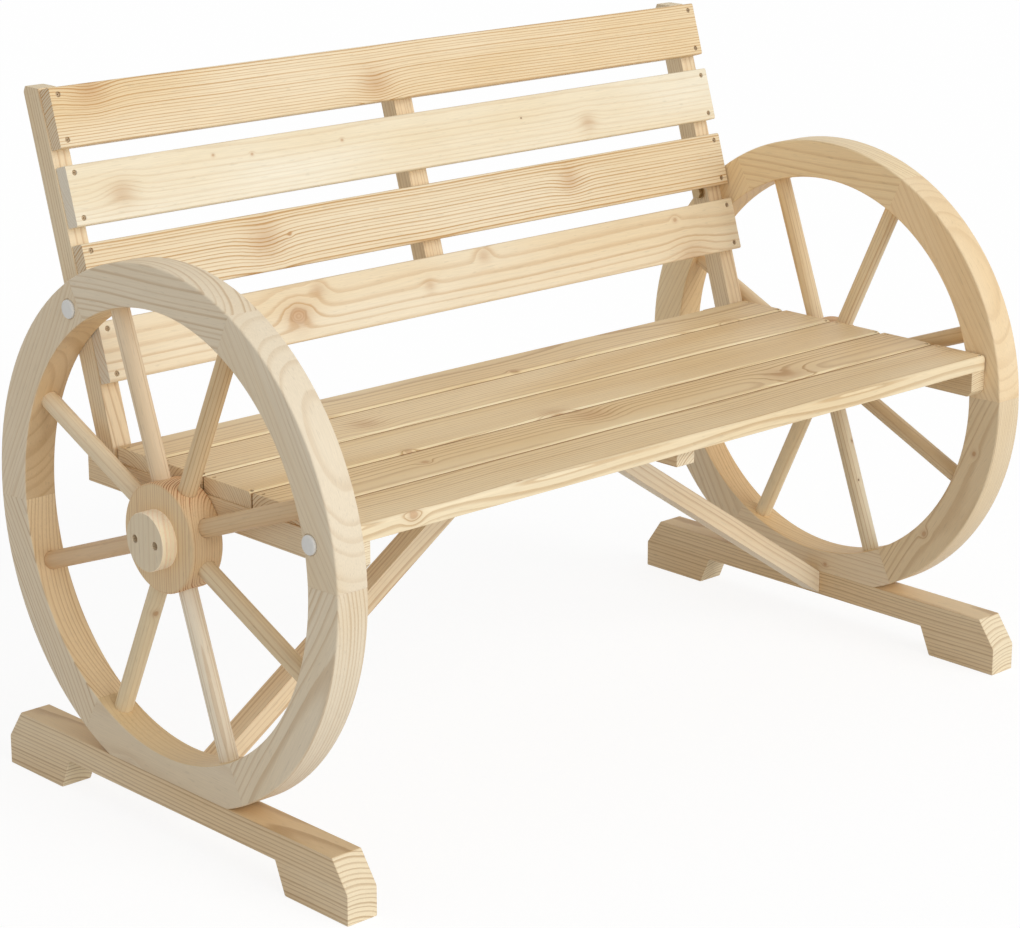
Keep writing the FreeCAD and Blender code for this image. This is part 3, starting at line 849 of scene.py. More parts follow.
def plastic_material():
    """Moulded white plastic with the faint orange peel of its tool."""
    material, tree, shader = new_material("white plastic")
    place = tree.nodes.new("ShaderNodeTexCoord").outputs["Object"]
    haze = cloud(tree, place, 260.0, 3.0)
    peel = cloud(tree, place, 1400.0, 2.0)
    set_inputs(tree, shader, {
        "Base Color": blended(tree, haze, srgb(240, 239, 234), srgb(231, 229, 223)),
        "Roughness": scaled(tree, haze, 0.12, 0.34),
    })
    give_relief(tree, shader, peel, 0.0002, 0.12)
    return material


white_plastic = plastic_material()
for side_name, side in both_sides:
    caps = [
        turned_mesh("cap", rim_cap_outline, on_outer_face(side, angle, distance), (side, 0, 0), 40)
        for angle, distance in rim_cap_places
    ]
    caps_mesh = planed(joined(caps), white_plastic, math.radians(60))
    caps_piece = shown("caps_on_rim_" + side_name, caps_mesh)
    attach(caps_piece, "root")
    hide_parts("rim_caps_" + side_name)

# Skids. A fir plank on edge under each wheel, with sloped ends and a long low arch sawn out
# below, so that it stands on two feet. Growth lines run close and level along its sides.
skid_half_length = 0.296
skid_height = 0.067
skid_end_slope = (0.0235, 0.0335)
skid_arch_height = 0.035
skid_arch_half_length = 0.181
skid_foot_slope = 0.015
skid_arris = 0.0015
skid_fir = fir("fir of the skids", {
    "Pale wood": srgb(240, 219, 184), "Warm wood": srgb(228, 198, 154), "End wood": srgb(249, 233, 200),
    "Growth line": srgb(184, 148, 104), "Ring spacing": 0.0046, "Line strength": 0.75, "End lines": 0.9,
    "Wander": 0.008, "Waves": 0.0014, "Patches": 0.8,
})


def prism(outline, sweep):
    """A solid with one outline at its end, swept along a vector."""
    return rings_joined([outline, [point + Vector(sweep) for point in outline]])


def ease_edges(shape, radius, steps, chosen=lambda edge: True):
    """Rounds the chosen edges of a shape."""
    bmesh.ops.bevel(
        shape, geom=[edge for edge in shape.edges if chosen(edge)], offset=radius, offset_type="OFFSET",
        segments=steps, profile=0.5, affect="EDGES", clamp_overlap=True,
    )


half_outline = [
    (skid_arch_half_length, skid_arch_height), (skid_arch_half_length + skid_foot_slope, 0),
    (skid_half_length, 0), (skid_half_length, skid_height - skid_end_slope[1]),
    (skid_half_length - skid_end_slope[0], skid_height),
]
skid_outline = half_outline + [(-y, z) for y, z in reversed(half_outline)]
for side_name, side in both_sides:
    near_x = min(side * inner_face_x, side * outer_face_x)
    plank = prism([Vector((near_x, y, z)) for y, z in skid_outline], (rim_thickness, 0, 0))
    ease_edges(plank, skid_arris, 2)
    skid = planed(as_mesh("skid", plank), skid_fir)
    # The skid's top is painted darker and browner than its sides, as painted shade.
    mark_boards(skid, [
        board((side * wheel_middle_x, 0, skid_height / 2), (0, 1, 0), (0, 0, 1),
              (-0.085, 0.012 * side), 21.7 + 6 * side, tint=tint)
        for tint in ((1, 1, 1), (0.94, 0.9, 0.83))
    ], lambda centres: centres[:, 2] > skid_height - skid_arris * 0.5)
    skid_piece = shown("plank_skid_" + side_name, skid)
    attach(skid_piece, "root")
    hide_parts("skid_" + side_name)

# Seat bearers. Two fir rails lie along the inner faces of rim and hub and carry the slats' ends,
# and a shallower one runs under their middle.
seat_underside = 0.383
side_bearer_width = 0.024
side_bearer_height = 0.031
side_bearer_front_y = -0.2645
side_bearer_front_chamfer = 0.0065
post_foot_y = 0.125
lean = math.radians(17)
post_depth = 0.028
side_bearer_rear_overhang = 0.0237
side_bearer_rear_y = post_foot_y + post_depth / math.cos(lean) + side_bearer_rear_overhang
centre_bearer_width = 0.028
centre_bearer_height = 0.024
centre_bearer_front_y = -0.242
centre_bearer_rear_y = 0.1142
small_arris = 0.001
stick_fir = fir("fir of the rails and posts", {
    "Pale wood": srgb(244, 226, 193), "Warm wood": srgb(232, 203, 160), "End wood": srgb(250, 234, 202),
    "Growth line": srgb(196, 158, 112), "Ring spacing": 0.0036, "Line strength": 0.55, "End lines": 1.3,
    "Wander": 0.008, "Waves": 0.0012, "Patches": 0.8,
})
rail_tints = {"left": (1, 1, 1), "right": (0.93, 0.9, 0.84)}


def stick(shape, log):
    """A stick's mesh: its shape planed, and marked with how it lies in its log."""
    mesh = planed(as_mesh("stick", shape), stick_fir)
    mark_boards(mesh, [log])
    return mesh


for side_name, side in both_sides:
    low = seat_underside - side_bearer_height
    near_x = min(side * inner_face_x, side * (inner_face_x - side_bearer_width))
    rail = prism([Vector((near_x, y, z)) for y, z in (
        (side_bearer_front_y, seat_underside), (side_bearer_front_y, low + side_bearer_front_chamfer),
        (side_bearer_front_y + side_bearer_front_chamfer, low), (side_bearer_rear_y, low),
        (side_bearer_rear_y, seat_underside),
    )], (side_bearer_width, 0, 0))
    ease_edges(rail, small_arris, 2)
    rail_mesh = stick(rail, board(
        (near_x + side_bearer_width / 2, 0, low + side_bearer_height / 2), (0, 1, 0), (0, 0, 1),
        (-0.09, 0.012), 31.2 + 3 * side, tint=rail_tints[side_name], figure=(1, 0.7, 1),
    ))
    rail_piece = shown("rail_under_seat_" + side_name, rail_mesh)
    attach(rail_piece, "root")
    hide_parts("seat_bearer_" + side_name)
centre_low = seat_underside - centre_bearer_height
centre_rail = prism([Vector((-centre_bearer_width / 2, y, z)) for y, z in (
    (centre_bearer_front_y, seat_underside), (centre_bearer_front_y, centre_low),
    (centre_bearer_rear_y, centre_low), (centre_bearer_rear_y, seat_underside),
)], (centre_bearer_width, 0, 0))
ease_edges(centre_rail, small_arris, 2)
centre_rail_mesh = stick(centre_rail, board(
    (0, 0, centre_low + centre_bearer_height / 2), (0, 1, 0), (0, 0, 1), (-0.05, 0.04), 39.4,
))
centre_rail_piece = shown("rail_under_seat_centre", centre_rail_mesh)
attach(centre_rail_piece, "root")
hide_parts("seat_bearer_centre")

# Back posts and batten. Two leaning fir posts stand on the side bearers' tops against the rims,
# cut level at foot and head, with the head's rear corner taken off. A batten behind the middle
# ties the back slats together.
post_width = 0.024
back_slat_width = 0.066
back_slat_thickness = 0.018
back_slat_gap = 0.0185
back_slat_count = 4
first_back_slat_rise = 0.085
back_step = back_slat_width + back_slat_gap
back_slats_top_rise = first_back_slat_rise + back_slat_count * back_step - back_slat_gap
post_rise_above_slats = 0.0023
post_corner_cut_back = 0.005
post_corner_cut_down = 0.007
batten_width = 0.028
batten_depth = 0.024
batten_end_inset = 0.005
up_the_back = Vector((0, math.sin(lean), math.cos(lean)))
behind_the_back = Vector((0, math.cos(lean), -math.sin(lean)))


def on_back(rise, behind, x=0.0):
    """A point up the posts' front faces from their feet, and so far behind those faces."""
    return Vector((x, post_foot_y, seat_underside)) + up_the_back * rise + behind_the_back * behind


level_shift = post_depth * math.tan(lean)
post_top = back_slats_top_rise + post_rise_above_slats
for side_name, side in both_sides:
    near_x = min(side * inner_face_x, side * (inner_face_x - post_width))
    rear_top = on_back(post_top + level_shift, post_depth)
    outline = [
        on_back(0, 0), on_back(post_top, 0), rear_top - Vector((0, post_corner_cut_back, 0)),
        rear_top - up_the_back * post_corner_cut_down, on_back(level_shift, post_depth),
    ]
    post = prism([point + Vector((near_x, 0, 0)) for point in outline], (post_width, 0, 0))
    ease_edges(post, small_arris, 2)
    post_mesh = stick(post, board(
        on_back(post_top / 2, post_depth / 2, near_x + post_width / 2), up_the_back, behind_the_back,
        (0.05, 0.03 * side), 44.8 + 5 * side,
    ))
    post_piece = shown("post_of_back_" + side_name, post_mesh)
    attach(post_piece, "root")
    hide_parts("back_post_" + side_name)
batten_low, batten_high = first_back_slat_rise + batten_end_inset, back_slats_top_rise - batten_end_inset
batten = prism([
    on_back(batten_low, 0, -batten_width / 2), on_back(batten_high, 0, -batten_width / 2),
    on_back(batten_high, batten_depth, -batten_width / 2),
    on_back(batten_low, batten_depth, -batten_width / 2),
], (batten_width, 0, 0))
ease_edges(batten, small_arris, 2)
batten_mesh = stick(batten, board(
    on_back((batten_low + batten_high) / 2, batten_depth / 2), up_the_back, behind_the_back,
    (0.03, 0.05), 52.6,
))
batten_piece = shown("batten_of_back", batten_mesh)
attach(batten_piece, "root")
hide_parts("back_batten")

# Seat slats. Five fir boards laid side by side with rounded upper arrises and a narrow gap, the
# last one ripped to fit before the posts. Each end is screwed down in two sunk holes.
seat_slat_count = 5
seat_half_length = 0.494
seat_slat_width = 0.079
seat_slat_thickness = 0.018
seat_slat_gap = 0.002
seat_front_y = -0.266
seat_rear_y = 0.1247
seat_front_radius = 0.0045
seat_joint_radius = 0.0065
seat_rear_radius = 0.0045
seat_lower_arris = 0.0008
seat_screw_x = 0.489
seat_screw_front_inset = 0.0062
seat_screw_rear_inset = 0.0105
screw_hole_radius = 0.0030
screw_hole_depth = 0.0036
seat_fir = fir("fir of the seat", {
    "Pale wood": srgb(240, 217, 177), "Warm wood": srgb(229, 199, 151),
    "End wood": srgb(238, 218, 184), "Growth line": srgb(190, 148, 96),
    "Ring spacing": 0.0032, "Line strength": 0.62,
    "Wander": 0.008, "Waves": 0.001, "Patches": 0.9,
})


def middle_of(edge):
    """The middle of an edge."""
    return (edge.verts[0].co + edge.verts[1].co) / 2


def runs_lengthwise(edge):
    """Whether an edge runs along a slat from end to end."""
    return abs(edge.verts[0].co.x - edge.verts[1].co.x) > 0.5


def row_group():
    """Geometry nodes that set one board in a row at even steps."""
    tree = bpy.data.node_groups.new("boards in a row", "GeometryNodeTree")
    ask, give = group_ends(
        tree,
        [("Board", "NodeSocketGeometry", None), ("Count", "NodeSocketInt", 4),
         ("Step", "NodeSocketVector", None), ("Material", "NodeSocketMaterial", None)],
        [("Row", "NodeSocketGeometry")],
    )
    line = new_node(tree, "GeometryNodeMeshLine", {"Count": ask["Count"], "Offset": ask["Step"]})
    put(tree, give["Row"], copies_on_points(tree, {
        "Points": line.outputs[0], "Instance": ask["Board"],
    }, ask["Material"]))
    return tree


def seat_board(front, rear, front_radius, rear_radius):
    """One seat slat in its place, its upper arrises rounded and the rest barely eased."""
    low, high = seat_underside, seat_underside + seat_slat_thickness
    shape = prism([
        Vector((-seat_half_length, front, low)), Vector((-seat_half_length, rear, low)),
        Vector((-seat_half_length, rear, high)), Vector((-seat_half_length, front, high)),
    ], (seat_half_length * 2, 0, 0))

    def upper_at(y):
        def chosen(edge):
            middle = middle_of(edge)
            return runs_lengthwise(edge) and middle.z > high - 0.0001 and abs(middle.y - y) < 0.0001
        return chosen

    def square(edge):
        return edge.is_valid and edge.calc_face_angle(0) > math.radians(60)

    ease_edges(shape, front_radius, 6, upper_at(front))
    if rear_radius:
        ease_edges(shape, rear_radius, 5, upper_at(rear))
    ease_edges(shape, seat_lower_arris, 2, square)
    return as_mesh("seat board", shape)


def holes_mesh(places, direction):
    """Cutters for sunk screw holes, each with a slight countersink."""
    return joined([turned_mesh("hole", [
        (-screw_hole_depth, screw_hole_radius * 0.92), (-0.0005, screw_hole_radius),
        (0.0012, screw_hole_radius + 0.0014),
    ], place, direction, 16) for place in places])


row_tree = row_group()
seat_step = seat_slat_width + seat_slat_gap
seat_spans = []
for index in range(seat_slat_count):
    front = seat_front_y + seat_step * index
    seat_spans.append((front, min(front + seat_slat_width, seat_rear_y)))
seat = joined([
    seat_board(*seat_spans[0], seat_front_radius, seat_rear_radius),
    repeated(row_tree, seat_board(*seat_spans[1], seat_joint_radius, seat_rear_radius), {
        "Count": seat_slat_count - 2, "Step": (0, seat_step, 0), "Material": seat_fir,
    }),
    seat_board(*seat_spans[-1], seat_joint_radius, 0),
])
seat_top = seat_underside + seat_slat_thickness
seat_screw_places = [
    Vector((side * seat_screw_x, y, seat_top))
    for front, rear in seat_spans for y in (front + seat_screw_front_inset, rear - seat_screw_rear_inset)
    for side in (-1, 1)
]
seat = planed(carved(seat, holes_mesh(seat_screw_places, (0, 0, 1))), seat_fir)
seat_piths = [(0.06, -0.05), (-0.02, -0.06), (0.05, -0.045), (-0.05, -0.05), (0.03, -0.07)]
seat_front_knots = [(-0.4164, 0.0055, -0.0042)]
seat_knots = [
    [(-0.2691, -0.036, 0.002)],
    [(-0.2936, 0.0019, 0.0034), (-0.036, 0.016, 1.012), (0.2535, -0.0144, 1.013)],
    [(-0.2789, -0.0355, 0.0036), (-0.06, -0.034, 1.009)],
    [(-0.2442, -0.0049, 1.009), (-0.34, -0.02, 1.009)],
    [(0.0311, -0.0245, 0.0034), (0.3972, -0.034, 1.006)],
]
seat_figures = [(1, 1.2, 1), (1.2, 1.1, 1.1), (1, 1, 1), (1, 1.2, 1.1), (1, 1, 1)]
# Tints of each slat's zones. First the plain top. Then in the joints a painted highlight on the upper arris
# and painted shade that darkens down into the gap. Last a painted highlight on the front slat's front.
seat_tone_and_painted_light = [
    (1.04, 1.05, 1.06), (1.16, 1.27, 1.36), (0.82, 0.76, 0.7), (0.5, 0.38, 0.28), (1.12, 1.2, 1.32),
]
# Depths below the top at which the joints' painted highlight and painted shades begin.
seat_painted_light_depths = (0.0002, 0.0011, 0.0022)
seat_front_highlight_breadth = 0.0034
seat_end_breadth = 0.0009
seat_boards = [
    board((0, (front + rear) / 2, seat_underside + seat_slat_thickness / 2), (1, 0, 0), (0, 1, 0),
          seat_piths[index], 7.3 * index + 61.1, *(seat_front_knots if zone == 4 else seat_knots[index]),
          tint=tint, figure=seat_figures[index])
    for index, (front, rear) in enumerate(seat_spans) for zone, tint in enumerate(seat_tone_and_painted_light)
]


def seat_board_at(centres):
    """The slat and its zones: top, joints' painted highlight and painted shade, front's painted highlight."""
    slats = np.floor((centres[:, 1] - seat_front_y + seat_slat_gap / 2) / seat_step)
    slats = np.clip(slats, 0, seat_slat_count - 1).astype(int)
    behind = centres[:, 1] - (seat_front_y + slats * seat_step)
    before = np.minimum(seat_front_y + slats * seat_step + seat_slat_width, seat_rear_y) - centres[:, 1]
    depth = seat_top - centres[:, 2]
    # Faces in a joint's rounding get painted light by depth: a highlight near the top, shade further down.
    in_joint = ((behind < seat_joint_radius) & (slats > 0)) | (
        (before < seat_rear_radius) & (slats < seat_slat_count - 1))
    zones = np.zeros(len(centres), int)
    for zone, least_depth in enumerate(seat_painted_light_depths):
        zones[in_joint & (depth > least_depth)] = zone + 1
    # The front slat's front strip gets a painted highlight.
    zones[(slats == 0) & (behind < seat_front_highlight_breadth)] = 4
    zones[np.abs(centres[:, 0]) > seat_half_length - seat_end_breadth] = 0
    return slats * len(seat_tone_and_painted_light) + zones


mark_boards(seat, seat_boards, seat_board_at)
seat_piece = shown("slats_of_seat", seat)
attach(seat_piece, "root")
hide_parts(*["seat_slat_%d" % (index + 1) for index in range(5)])

# Back slats. Four fir boards across the fronts of the posts and the batten, front arrises
# rounded, each end screwed in two sunk holes. The lowest has a large ringed knot.
back_half_length = 0.4945
back_front_radius = 0.0025
back_screw_x = 0.484
back_screw_inset = 0.0085
back_fir = fir("fir of the back", {
    "Pale wood": srgb(246, 233, 205), "Warm wood": srgb(237, 214, 172),
    "End wood": srgb(236, 222, 198), "Growth line": srgb(202, 160, 106),
    "Ring spacing": 0.0031, "Line strength": 0.62,
    "Wander": 0.006, "Waves": 0.0011, "Patches": 0.75,
})
low = first_back_slat_rise
high = low + back_slat_width
shape = prism([
    on_back(low, -back_slat_thickness, -back_half_length),
    on_back(high, -back_slat_thickness, -back_half_length),
    on_back(high, 0, -back_half_length), on_back(low, 0, -back_half_length),
], (back_half_length * 2, 0, 0))
front_face_place = on_back(low, -back_slat_thickness).dot(behind_the_back)


def front_edge(edge):
    """Whether an edge is one of the long arrises of a back slat's front."""
    return runs_lengthwise(edge) and middle_of(edge).dot(behind_the_back) < front_face_place + 0.001


ease_edges(shape, back_front_radius, 4, front_edge)
ease_edges(shape, seat_lower_arris, 2, lambda edge: edge.calc_face_angle(0) > math.radians(60))
back = repeated(row_tree, as_mesh("back board", shape), {
    "Count": back_slat_count, "Step": up_the_back * back_step, "Material": back_fir,
})
back_slat_lows = [first_back_slat_rise + back_step * index for index in range(back_slat_count)]
back_screw_places = [
    on_back(rise, -back_slat_thickness, side * back_screw_x)
    for low in back_slat_lows for rise in (low + back_screw_inset, low + back_slat_width - back_screw_inset)
    for side in (-1, 1)
]
back = planed(carved(back, holes_mesh(back_screw_places, -behind_the_back)), back_fir)
back_piths = [(0.03, 0.075), (-0.07, 0.05), (0.05, 0.09), (-0.09, 0.045)]
back_knots = [
    [(-0.2295, -0.0038, 0.0095), (-0.1955, 0.0206, 1.005), (0.4059, -0.0333, 1.012), (0.3859, 0.0186, 0.0022),
     (0.0595, 0.0214, 1.005), (-0.0318, 0.0006, 1.004)],
    [(-0.2545, 0.0023, 1.011), (-0.2183, 0.0039, 0.0014), (0.2215, 0.0073, 1.008)],
    [(-0.43, -0.004, 1.008), (0.2709, -0.011, 1.006), (-0.3009, 0.0202, 0.0013), (-0.2478, 0.0146, 0.0014),
     (-0.1172, 0.0144, 0.0013), (0.1623, 0.0069, 0.001)],
    [(-0.05, -0.012, 1.01), (-0.4431, 0.0246, 1.01)],
]
back_tints = [(0.98, 0.98, 0.99), (0.98, 0.96, 0.93), (1.04, 1.09, 1.17), (1.0, 0.95, 0.88)]
back_figures = [(0.8, 1.7, 1.0), (1.6, 1.1, 0.9), (0.4, 1.1, 1.1), (1.5, 1.0, 1.3)]
back_boards = [
    board(on_back(low + back_slat_width / 2, -back_slat_thickness / 2), (1, 0, 0), up_the_back,
          back_piths[index], 9.1 * index + 83.7, *back_knots[index], tint=back_tints[index],
          figure=back_figures[index])
    for index, low in enumerate(back_slat_lows)
]


def back_board_at(centres):
    """The back slat that each face belongs to, the lowest first."""
    rises = (centres - np.array(on_back(0, 0))) @ np.array(up_the_back)
    steps = (rises - first_back_slat_rise + back_slat_gap / 2) / back_step
    return np.clip(np.floor(steps), 0, back_slat_count - 1).astype(int)


mark_boards(back, back_boards, back_board_at)
back_piece = shown("slats_of_back", back)
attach(back_piece, "root")
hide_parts(*["back_slat_%d" % (index + 1) for index in range(back_slat_count)])

# Braces. Two fir struts run from the skids' inner faces up to the centre bearer, cut upright at
# the foot, upright at the head and level under the seat.
brace_thickness = 0.024
brace_depth = 0.028
brace_foot_height = 0.0372
brace_head_drop = 0.0035
brace_foot = Vector((inner_face_x, 0, brace_foot_height))
brace_head = Vector((
    centre_bearer_width / 2, 0, seat_underside - centre_bearer_height - brace_head_drop,
))
strut_tints = {"left": (1.02, 1.01, 1.01), "right": (1.05, 1.1, 1.2)}
for side_name, side in both_sides:
    slope = (brace_head - brace_foot).normalized()
    upright = Vector((0, 0, brace_thickness / -slope.x))
    corners = [brace_foot, brace_foot + upright, brace_head + upright, brace_head]
    strut = prism(
        [Vector((corner.x * side, -brace_depth / 2, corner.z)) for corner in corners], (0, brace_depth, 0),
    )
    cut_level(strut, seat_underside, 1)
    ease_edges(strut, small_arris, 2, lambda edge: edge.calc_face_angle(0) > math.radians(20))
    bmesh.ops.dissolve_degenerate(strut, dist=0.00001, edges=strut.edges[:])
    along = Vector((slope.x * side, 0, slope.z))
    middle = (brace_foot + brace_head + upright) / 2
    strut_mesh = stick(strut, board(
        (middle.x * side, 0, middle.z), along, (0, 1, 0), (0.05, 0.045 * side), 57.9 + 8 * side,
        tint=strut_tints[side_name],
    ))
    strut_piece = shown("strut_under_seat_" + side_name, strut_mesh)
    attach(strut_piece, "root")
    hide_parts("brace_" + side_name)

# Wood screws. Zinc-plated countersunk heads with a cross recess, sunk into the slats' ends and
# at the bottom of the hub caps' holes.
screw_head_radius = 0.0027
screw_head_height = 0.0016
screw_sink = 0.0015
hub_screw_head_radius = 0.0041
hub_screw_head_height = 0.0024
hub_screw_head_rise = 0.0022


def steel_material(name, colour, shade, roughness):
    """Zinc-plated steel, a little dull and uneven."""
    material, tree, shader = new_material(name)
    place = tree.nodes.new("ShaderNodeTexCoord").outputs["Object"]
    spangle = cloud(tree, place, 900.0, 3.0)
    set_inputs(tree, shader, {
        "Base Color": blended(tree, spangle, colour, shade), "Metallic": 1.0,
        "Roughness": scaled(tree, spangle, 0.2, roughness),
    })
    give_relief(tree, shader, spangle, 0.0001, 0.2)
    return material


def screws_group():
    """Geometry nodes that set one screw head on each point, turned by a small fixed chance."""
    tree = bpy.data.node_groups.new("screw heads on points", "GeometryNodeTree")
    ask, give = group_ends(
        tree,
        [("Places", "NodeSocketGeometry", None), ("Screw head", "NodeSocketObject", None),
         ("Lean", "NodeSocketVector", None), ("Seed", "NodeSocketInt", 3),
         ("Material", "NodeSocketMaterial", None)],
        [("Screws", "NodeSocketGeometry")],
    )
    head = new_node(tree, "GeometryNodeObjectInfo", {"Object": ask["Screw head"]}).outputs["Geometry"]
    twist = new_node(tree, "FunctionNodeRandomValue", {"Seed": ask["Seed"]}, data_type="FLOAT")
    least, most = [socket for socket in twist.inputs if socket.enabled][:2]
    put(tree, least, 0.0)
    put(tree, most, 1.57)
    turned = [socket for socket in twist.outputs if socket.enabled][0]
    spin = new_node(tree, "FunctionNodeEulerToRotation", {0: three(tree, 0.0, 0.0, turned)}).outputs[0]
    tilt = new_node(tree, "FunctionNodeEulerToRotation", {0: ask["Lean"]}).outputs[0]
    both = new_node(tree, "FunctionNodeRotateRotation", {0: tilt, 1: spin}, rotation_space="LOCAL").outputs[0]
    points = new_node(tree, "GeometryNodeMeshToPoints", {"Mesh": ask["Places"]}).outputs[0]
    put(tree, give["Screws"], copies_on_points(tree, {
        "Points": points, "Instance": head, "Rotation": both,
    }, ask["Material"]))
    return tree


def screw_head_mesh(radius, height):
    """A countersunk head that looks up, with its cross recess."""
    head = turned_mesh("head", [
        (-height, radius * 0.45), (-0.0003, radius), (0.0, radius - 0.0001), (0.0001, radius * 0.8),
    ], Vector((0, 0, 0)), (0, 0, 1), 16)
    cross = []
    for way in (0, 1):
        arm = bmesh.new()
        bmesh.ops.create_cube(arm, size=1.0)
        wide, slim = radius * 1.1, radius * 0.28
        size = (wide, slim, height) if way == 0 else (slim, wide, height)
        for vertex in arm.verts:
            taper = 1.0 if vertex.co.z > 0 else 0.45
            scale = Vector((size[0] * taper, size[1] * taper, size[2]))
            vertex.co = vertex.co * scale
        cross.append(as_mesh("arm", arm))
    return carved(carved(head, cross[0]), cross[1])


def screws_on(name, places, lean_angles, head_mesh, material):
    """Screw heads on a list of places, as one plain mesh."""
    head = bpy.data.objects.new("head", head_mesh)
    bpy.context.collection.objects.link(head)
    points = bpy.data.meshes.new(name)
    points.from_pydata([tuple(place) for place in places], [], [])
    screws = repeated(screws_tree, points, {"Screw head": head, "Lean": lean_angles, "Material": material})
    bpy.data.objects.remove(head)
    return planed(screws, material)


screws_tree = screws_group()
screw_steel = steel_material("dull zinc", srgb(186, 164, 134), srgb(148, 126, 98), 0.5)
screw_head = screw_head_mesh(screw_head_radius, screw_head_height)
seat_screws = screws_on(
    "screws_in_seat", [place - Vector((0, 0, screw_sink)) for place in seat_screw_places],
    (0, 0, 0), screw_head, screw_steel,
)
back_screws = screws_on(
    "screws_in_back", [place + behind_the_back * screw_sink for place in back_screw_places],
    (math.pi / 2 - lean, 0, 0), screw_head, screw_steel,
)
hub_screws = []
hub_screw_head = screw_head_mesh(hub_screw_head_radius, hub_screw_head_height)
for side in (-1, 1):
    bottom = side * (outer_face_x + hub_cap_thickness - hub_cap_hole_depth + hub_screw_head_rise)
    hub_screws.append(screws_on(
        "screws_in_hub_cap", [Vector((bottom, way * hub_cap_hole_offset, axle_height)) for way in (-1, 1)],
        (0, side * math.pi / 2, 0), hub_screw_head, screw_steel,
    ))
for name, mesh in (
    ("screws_in_seat", seat_screws), ("screws_in_back", back_screws),
    ("screws_in_hub_cap_left", hub_screws[0]), ("screws_in_hub_cap_right", hub_screws[1]),
):
    screws_piece = shown(name, mesh)
    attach(screws_piece, "root")

# Lag screws. A hexagon head on a round washer holds each back post to its rim, seen on the
# post's inner face.
lag_flats = 0.013
lag_head_height = 0.0053
lag_washer_radius = 0.009
lag_washer_thickness = 0.0016
lag_corner_radius = lag_flats / 2 / math.cos(math.pi / 6)
lag_head_outline = [
    (0.0, lag_corner_radius), (lag_head_height - 0.0008, lag_corner_radius),
    (lag_head_height - 0.0002, lag_corner_radius * 0.9), (lag_head_height, lag_corner_radius * 0.82),
]
lag_washer_outline = [
    (0.0, lag_washer_radius - 0.0002), (0.0002, lag_washer_radius),
    (lag_washer_thickness - 0.0003, lag_washer_radius),
    (lag_washer_thickness, lag_washer_radius - 0.0003),
]
# Its brownish colours are a painted reflection of the wood round it, on zinc-plated steel.
zinc = steel_material("zinc with painted reflection", srgb(196, 172, 132), srgb(146, 120, 86), 0.3)
low_corner, high_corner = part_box("lag_screws")
middle = (low_corner + high_corner) / 2
heads, washers = [], []
for side in (-1, 1):
    post_face = Vector((side * (inner_face_x - post_width), middle.y, middle.z))
    washer_face = Vector((side * (inner_face_x - post_width - lag_washer_thickness), middle.y, middle.z))
    washers.append(turned_mesh("washer", lag_washer_outline, post_face, (-side, 0, 0), 40))
    heads.append(turned_mesh("head", lag_head_outline, washer_face, (-side, 0, 0), 6))
for name, meshes, node in (
    ("heads_of_lag_screws", heads, "lag_screws"), ("washers_of_lag_screws", washers, "lag_washers"),
):
    fastener = planed(joined(meshes), zinc, math.radians(28))
    fastener_piece = shown(name, fastener)
    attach(fastener_piece, "root")
    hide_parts(node)

# Floor. A plain pale studio floor, which shows the bench's shadow and otherwise matches the
# white background.
floor_half_breadth = 30
floor_glow = 1.13
floor_glow_share = 0.76
floor_shape = bmesh.new()
floor_shape.faces.new([
    floor_shape.verts.new((x * floor_half_breadth, y * floor_half_breadth, 0))
    for x, y in ((-1, -1), (1, -1), (1, 1), (-1, 1))
])
floor = shown("floor", as_mesh("floor", floor_shape))


def seen_share(tree):
    """1 where a picture or a reflection shows the thing itself, 0 where it only lights others."""
    path = new_node(tree, "ShaderNodeLightPath", {}).outputs
    seen = sum_of(tree, "MAXIMUM", path["Is Camera Ray"], path["Is Glossy Ray"])
    return sum_of(tree, "MAXIMUM", seen, path["Is Transmission Ray"])


floor_material, tree, shader = new_material("pale floor")
set_inputs(tree, shader, {
    "Base Color": (0.8, 0.8, 0.8, 1), "Roughness": 0.9, "Specular IOR Level": 0.0,
})
glow = new_node(tree, "ShaderNodeEmission", {"Color": (1, 1, 1, 1), "Strength": floor_glow})
blend = new_node(tree, "ShaderNodeMixShader", {
    0: times(tree, seen_share(tree), floor_glow_share), 1: shader.outputs[0], 2: glow.outputs[0],
})
put(tree, tree.nodes["Material Output"].inputs["Surface"], blend.outputs[0])
floor.data.materials.append(floor_material)

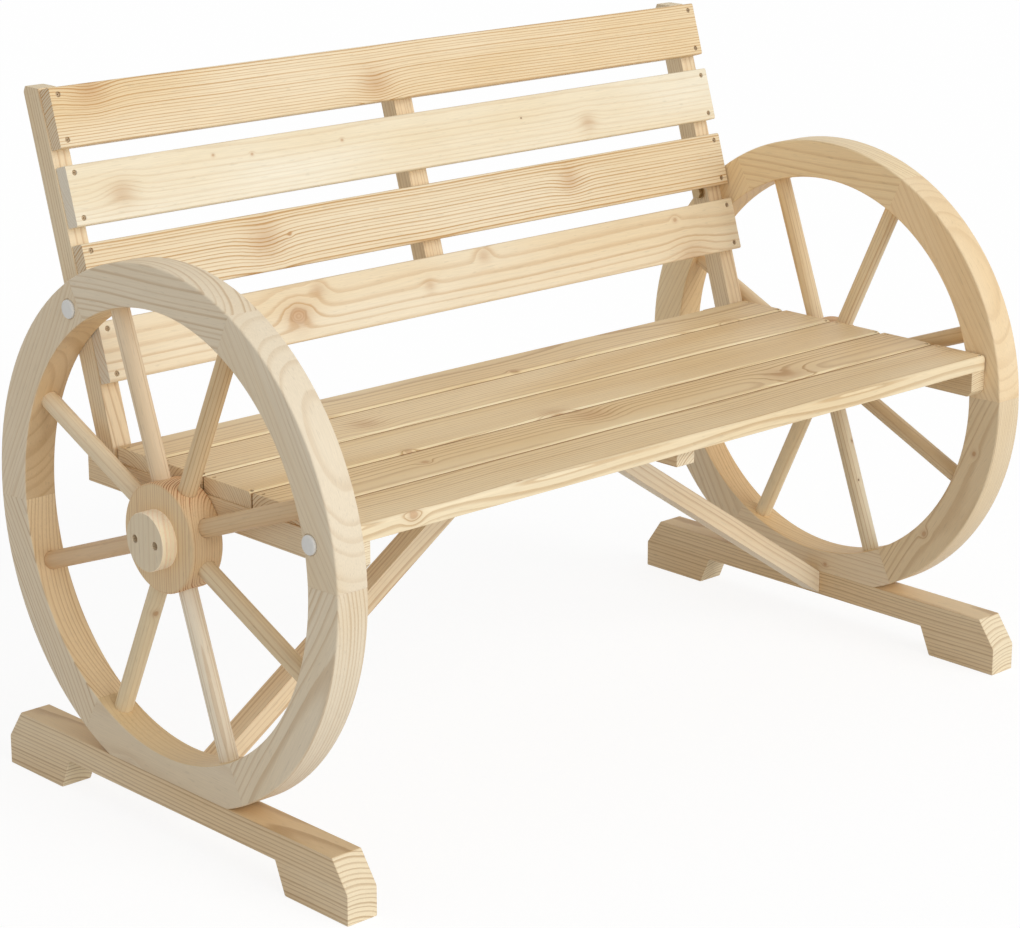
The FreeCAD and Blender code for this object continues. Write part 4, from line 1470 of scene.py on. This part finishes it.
# Light. A very broad soft lamp stands low in front and a little to the right, and the white room
# fills the rest.
room_light = 0.51
room_light_added_where_seen = 0.49
key_strength = 1.44
key_breadth = math.radians(48)
key_from = Vector((0.12, -0.9, 0.42)).normalized()
world = bpy.data.worlds.new("studio")
world.use_nodes = True
bpy.context.scene.world = world
tree = world.node_tree
room = tree.nodes["Background"]
room.inputs["Color"].default_value = (1, 1, 1, 1)
put(tree, room.inputs["Strength"], scaled(tree, seen_share(tree), room_light_added_where_seen, room_light))
key_data = bpy.data.lights.new("key", "SUN")
key_data.energy = key_strength
key_data.angle = key_breadth
key = bpy.data.objects.new("key", key_data)
key.matrix_world = key_from.to_track_quat("Z", "Y").to_matrix().to_4x4()
bpy.context.collection.objects.link(key)
bpy.context.scene.view_settings.view_transform = "Standard"

# Camera. It stands before the left wheel and looks down a little, with a long lens, as the
# picture was taken.
camera_place = Vector((-2.25679, -2.37427, 1.27958))
camera_yaw = math.radians(43.755)
camera_pitch = math.radians(-15.226)
camera_roll = math.radians(0.156)
camera_sensor_width = 36.0
camera_lens = 104.1
camera_shift = (-0.0333, -0.0652)
right = Vector((math.cos(camera_yaw), -math.sin(camera_yaw), 0))
ahead = Vector((
    math.sin(camera_yaw) * math.cos(camera_pitch),
    math.cos(camera_yaw) * math.cos(camera_pitch),
    math.sin(camera_pitch),
))
up = right.cross(ahead)
turned_right = right * math.cos(camera_roll) + up * math.sin(camera_roll)
turned_up = up * math.cos(camera_roll) - right * math.sin(camera_roll)
camera_data = bpy.data.cameras.new("camera")
camera_data.sensor_width = camera_sensor_width
camera_data.lens = camera_lens
camera_data.shift_x, camera_data.shift_y = camera_shift
camera = bpy.data.objects.new("camera", camera_data)
camera.matrix_world = Matrix((
    (turned_right.x, turned_up.x, -ahead.x, camera_place.x),
    (turned_right.y, turned_up.y, -ahead.y, camera_place.y),
    (turned_right.z, turned_up.z, -ahead.z, camera_place.z),
    (0, 0, 0, 1),
))
bpy.context.collection.objects.link(camera)
bpy.context.scene.camera = camera
